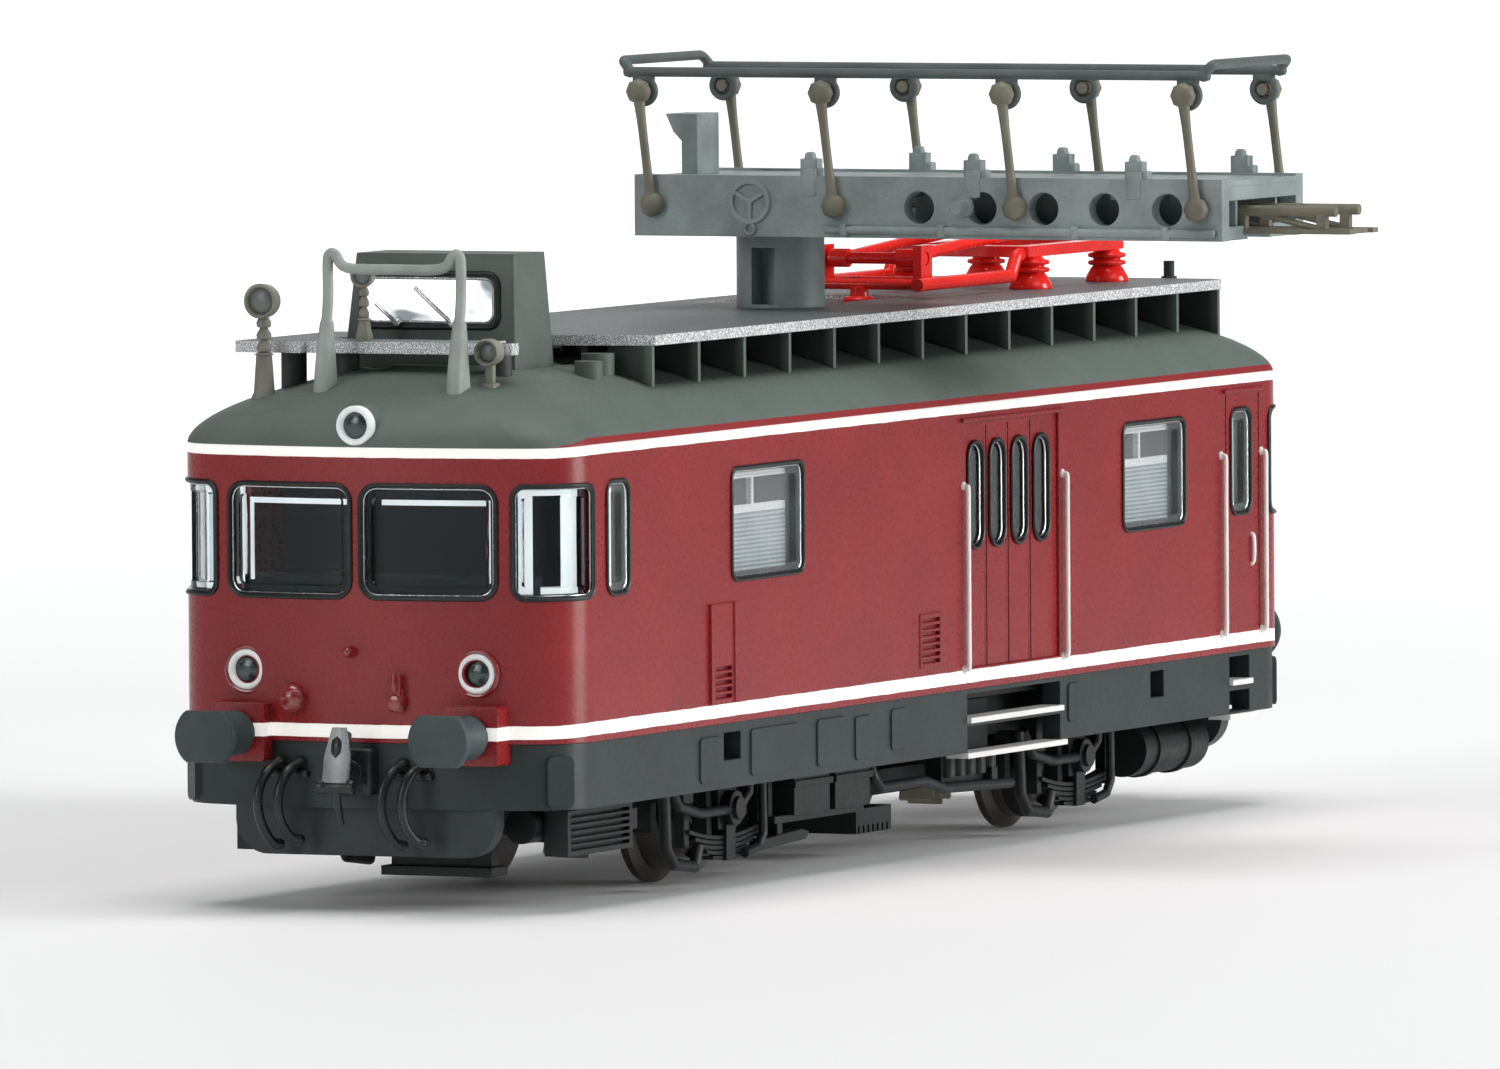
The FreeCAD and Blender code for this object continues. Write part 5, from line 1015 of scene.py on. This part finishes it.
def end_fittings():
    """Small moulded fittings on both ends: a grooved boss, a button, headlamp rims, a catch and a peg."""
    bm = bmesh.new()
    boss = [(1.08, -0.1), (1.08, 0.06), (1, 0.12), (0.98, 0.3), (0.8, 0.5), (0.45, 0.62), (0, 0.66)]
    rim = [(0.95, -0.5), (1.06, -0.1), (1.05, 0.03), (0.97, 0.09), (0.88, 0.07), (0.84, -0.5)]
    for fx in (-1, 1):
        axis = (fx, 0, 0)
        for y, z, r, bars in ((-fx * 3.0, 8.55, 0.62, (-0.24, 0.24)), (-fx * 0.23, 10.57, 0.26, ())):
            x = fx * (bow_x(y) - 0.02)
            lathe(bm, scaled(boss, r), (x, y, z), axis, 28)
            for dz in bars:
                sweep(bm, [Vector((x + fx * 0.42, y - 0.5, z + dz)), Vector((x + fx * 0.56, y, z + dz)),
                           Vector((x + fx * 0.42, y + 0.5, z + dz))], 0.09, 8)
        for y in (-HEADLAMP_Y, HEADLAMP_Y):
            lathe(bm, rim, (fx * bow_x(y), y, HEADLAMP_Z), axis, 36)
        y, z = fx * 1.95, 8.75
        x = fx * bow_x(y)
        low, high = sorted((x, x + fx * 0.32))
        block(bm, (low, y - 0.34, z - 0.72), (high, y + 0.34, z + 0.3), 0.14)
        lathe(bm, [(0.42, -0.05), (0.42, 0.3), (0.3, 0.5), (0.0, 0.56)], (x, y, z - 0.3), axis, 20)
        peg = [(x + fx * 0.2, y, z + 0.1), (x + fx * 0.42, y, z + 0.4), (x + fx * 0.4, y, z + 0.95)]
        sweep(bm, smooth_path(peg, 5), lambda t: 0.2 - 0.08 * t, 10)
    finish_mesh("nose_fittings", bm, "knob", "chassis")


def vehicle_pieces():
    bead("window_seal_beads", 0.06, -0.03, 0.09, "seal", 0.08)
    bead("window_bright_lines", 0.2, 0.08, 0.04, "bright", 0.1)
    end_fittings()
    painted_glazing_highlights()
    cupola_trim()
    roof_hoop()
    searchlights()
    lamp_bezels()
    buffer_set()
    hose_set()
    coupling_set()
    posts()
    railing()
    insulators()
    platform_details()
    handrail_set()


# ---------------------------------------------------------------- stage
CAM_AZ, CAM_EL, CAM_ROLL = (math.radians(a) for a in (-65.339, 3.008, -0.370))
CAM_AIM = Vector((0, 0, 10))                    # millimetres, like the next line
CAM_RIGHT, CAM_UP, CAM_BACK = 0.0128, 3.5169, 905.851
FOCAL_PX, PHOTO_W, SENSOR = 20544.6, 1500.0, 36.0
VIEW_X, VIEW_Y = 0.909, 0.417                   # the way the camera looks along the floor
LIGHTS = (                                      # place, height aimed at, size, power
    ("key", (-0.28, -0.62, 0.5), 0.012, (0.5, 0.4), 1.0),
    ("top", (0.0, 0.0, 0.8), 0.012, (0.6, 0.5), 4.0),
    ("front", (-0.75, 0.3, 0.3), 0.012, (0.3, 0.4), 1.45),
    ("strip", (0.28, -0.71, 0.1), 0.02, (0.3, 0.6), 6.2),
)


def camera():
    """The photo's camera, solved from its picture: a long lens, almost level, rolled a little."""
    az, el, roll = CAM_AZ, CAM_EL, CAM_ROLL
    back = Vector((math.sin(az) * math.cos(el), -math.cos(az) * math.cos(el), math.sin(el)))
    right = (-back).cross(Vector((0, 0, 1))).normalized()
    up = right.cross(-back)
    r2 = math.cos(roll) * right + math.sin(roll) * up
    u2 = -math.sin(roll) * right + math.cos(roll) * up
    place = CAM_AIM + CAM_RIGHT * r2 + CAM_UP * u2 + CAM_BACK * back
    data = bpy.data.cameras.new("camera")
    data.lens = FOCAL_PX / PHOTO_W * SENSOR
    data.sensor_width = SENSOR
    data.clip_start = 0.05
    data.clip_end = 20.0
    cam = bpy.data.objects.new("camera", data)
    cam.matrix_world = Matrix((
        (r2.x, u2.x, back.x, place.x * MM),
        (r2.y, u2.y, back.y, place.y * MM),
        (r2.z, u2.z, back.z, place.z * MM),
        (0, 0, 0, 1)))
    bpy.context.scene.collection.objects.link(cam)
    bpy.context.scene.camera = cam


def area_light(name, place, aim_z, size, power):
    data = bpy.data.lights.new(name, "AREA")
    data.shape = "RECTANGLE"
    data.size, data.size_y = size
    data.energy = power
    lamp = bpy.data.objects.new(name, data)
    lamp.location = place
    lamp.rotation_euler = (Vector((0, 0, aim_z)) - Vector(place)).to_track_quat("-Z", "Y").to_euler()
    bpy.context.scene.collection.objects.link(lamp)


def world():
    """Studio surround: dim cool grey, with a bright patch behind the vehicle as the camera sees it."""
    scene_world = bpy.data.worlds.new("studio")
    bpy.context.scene.world = scene_world
    scene_world.use_nodes = True
    tree = scene_world.node_tree
    coord = tree.nodes.new("ShaderNodeTexCoord").outputs["Generated"]
    dot = tree.nodes.new("ShaderNodeVectorMath")
    dot.operation = "DOT_PRODUCT"
    dot.inputs[1].default_value = (VIEW_X, VIEW_Y, 0.0)
    tree.links.new(coord, dot.inputs[0])
    ramp = tree.nodes.new("ShaderNodeValToRGB")
    stops = ((0.86, (0.13, 0.136, 0.14, 1)), (0.97, (1.12, 1.12, 1.12, 1)))
    for element, (position, colour) in zip(ramp.color_ramp.elements, stops):
        element.position = position
        element.color = colour
    tree.links.new(dot.outputs["Value"], ramp.inputs[0])
    tree.links.new(ramp.outputs[0], tree.nodes["Background"].inputs[0])


def floor_paint():
    """Pale paper floor: it glows into the white behind the vehicle and turns grey out of frame."""
    m = Mat("floor_pale")
    pale = m.mix(m.noise(3, 2), (0.9, 0.9, 0.9), (0.94, 0.94, 0.94))
    x, y, _ = m.xyz()
    far = m.math("SQRT", m.math("ADD", m.math("MULTIPLY", x, x), m.math("MULTIPLY", y, y)))
    away = m.math("ADD", m.math("MULTIPLY", x, VIEW_X), m.math("MULTIPLY", y, VIEW_Y))
    aside = m.math("SUBTRACT", m.math("MULTIPLY", x, VIEW_Y), m.math("MULTIPLY", y, VIEW_X))
    aside = m.math("SUBTRACT", aside, m.math("MULTIPLY", away, 0.0365))        # follows the frame's edge
    behind = m.remap(m.math("DIVIDE", away, m.math("ADD", far, 0.001)), 0.72, 0.93, 0.1, 1.0)
    m.set(Base_Color=m.mix(m.remap(aside, 0.04, 0.17, 0, 1), pale, (0.3, 0.3, 0.3)),
          Roughness=0.6, Specular_IOR_Level=0.2, Emission_Color=(1, 1, 1, 1),
          Emission_Strength=m.math("MULTIPLY", m.remap(far, 0.12, 0.7, 0.1, 0.85), behind))
    return m.mat


def stage():
    """Floor just under the wheels, surround, lights and view settings."""
    half, gap = 6.0, 0.00002
    z = CAD_BOX[0][2] - gap
    corners = [(-half, -half, z), (half, -half, z), (half, half, z), (-half, half, z)]
    me = bpy.data.meshes.new("floor")
    me.from_pydata(corners, [], [(0, 1, 2, 3)])
    me.materials.append(floor_paint())
    floor = bpy.data.objects.new("floor", me)
    bpy.context.scene.collection.objects.link(floor)
    world()
    for light in LIGHTS:
        area_light(*light)
    view = bpy.context.scene.view_settings
    view.view_transform = "Standard"
    view.look = "None"


vehicle_pieces()
camera()
stage()
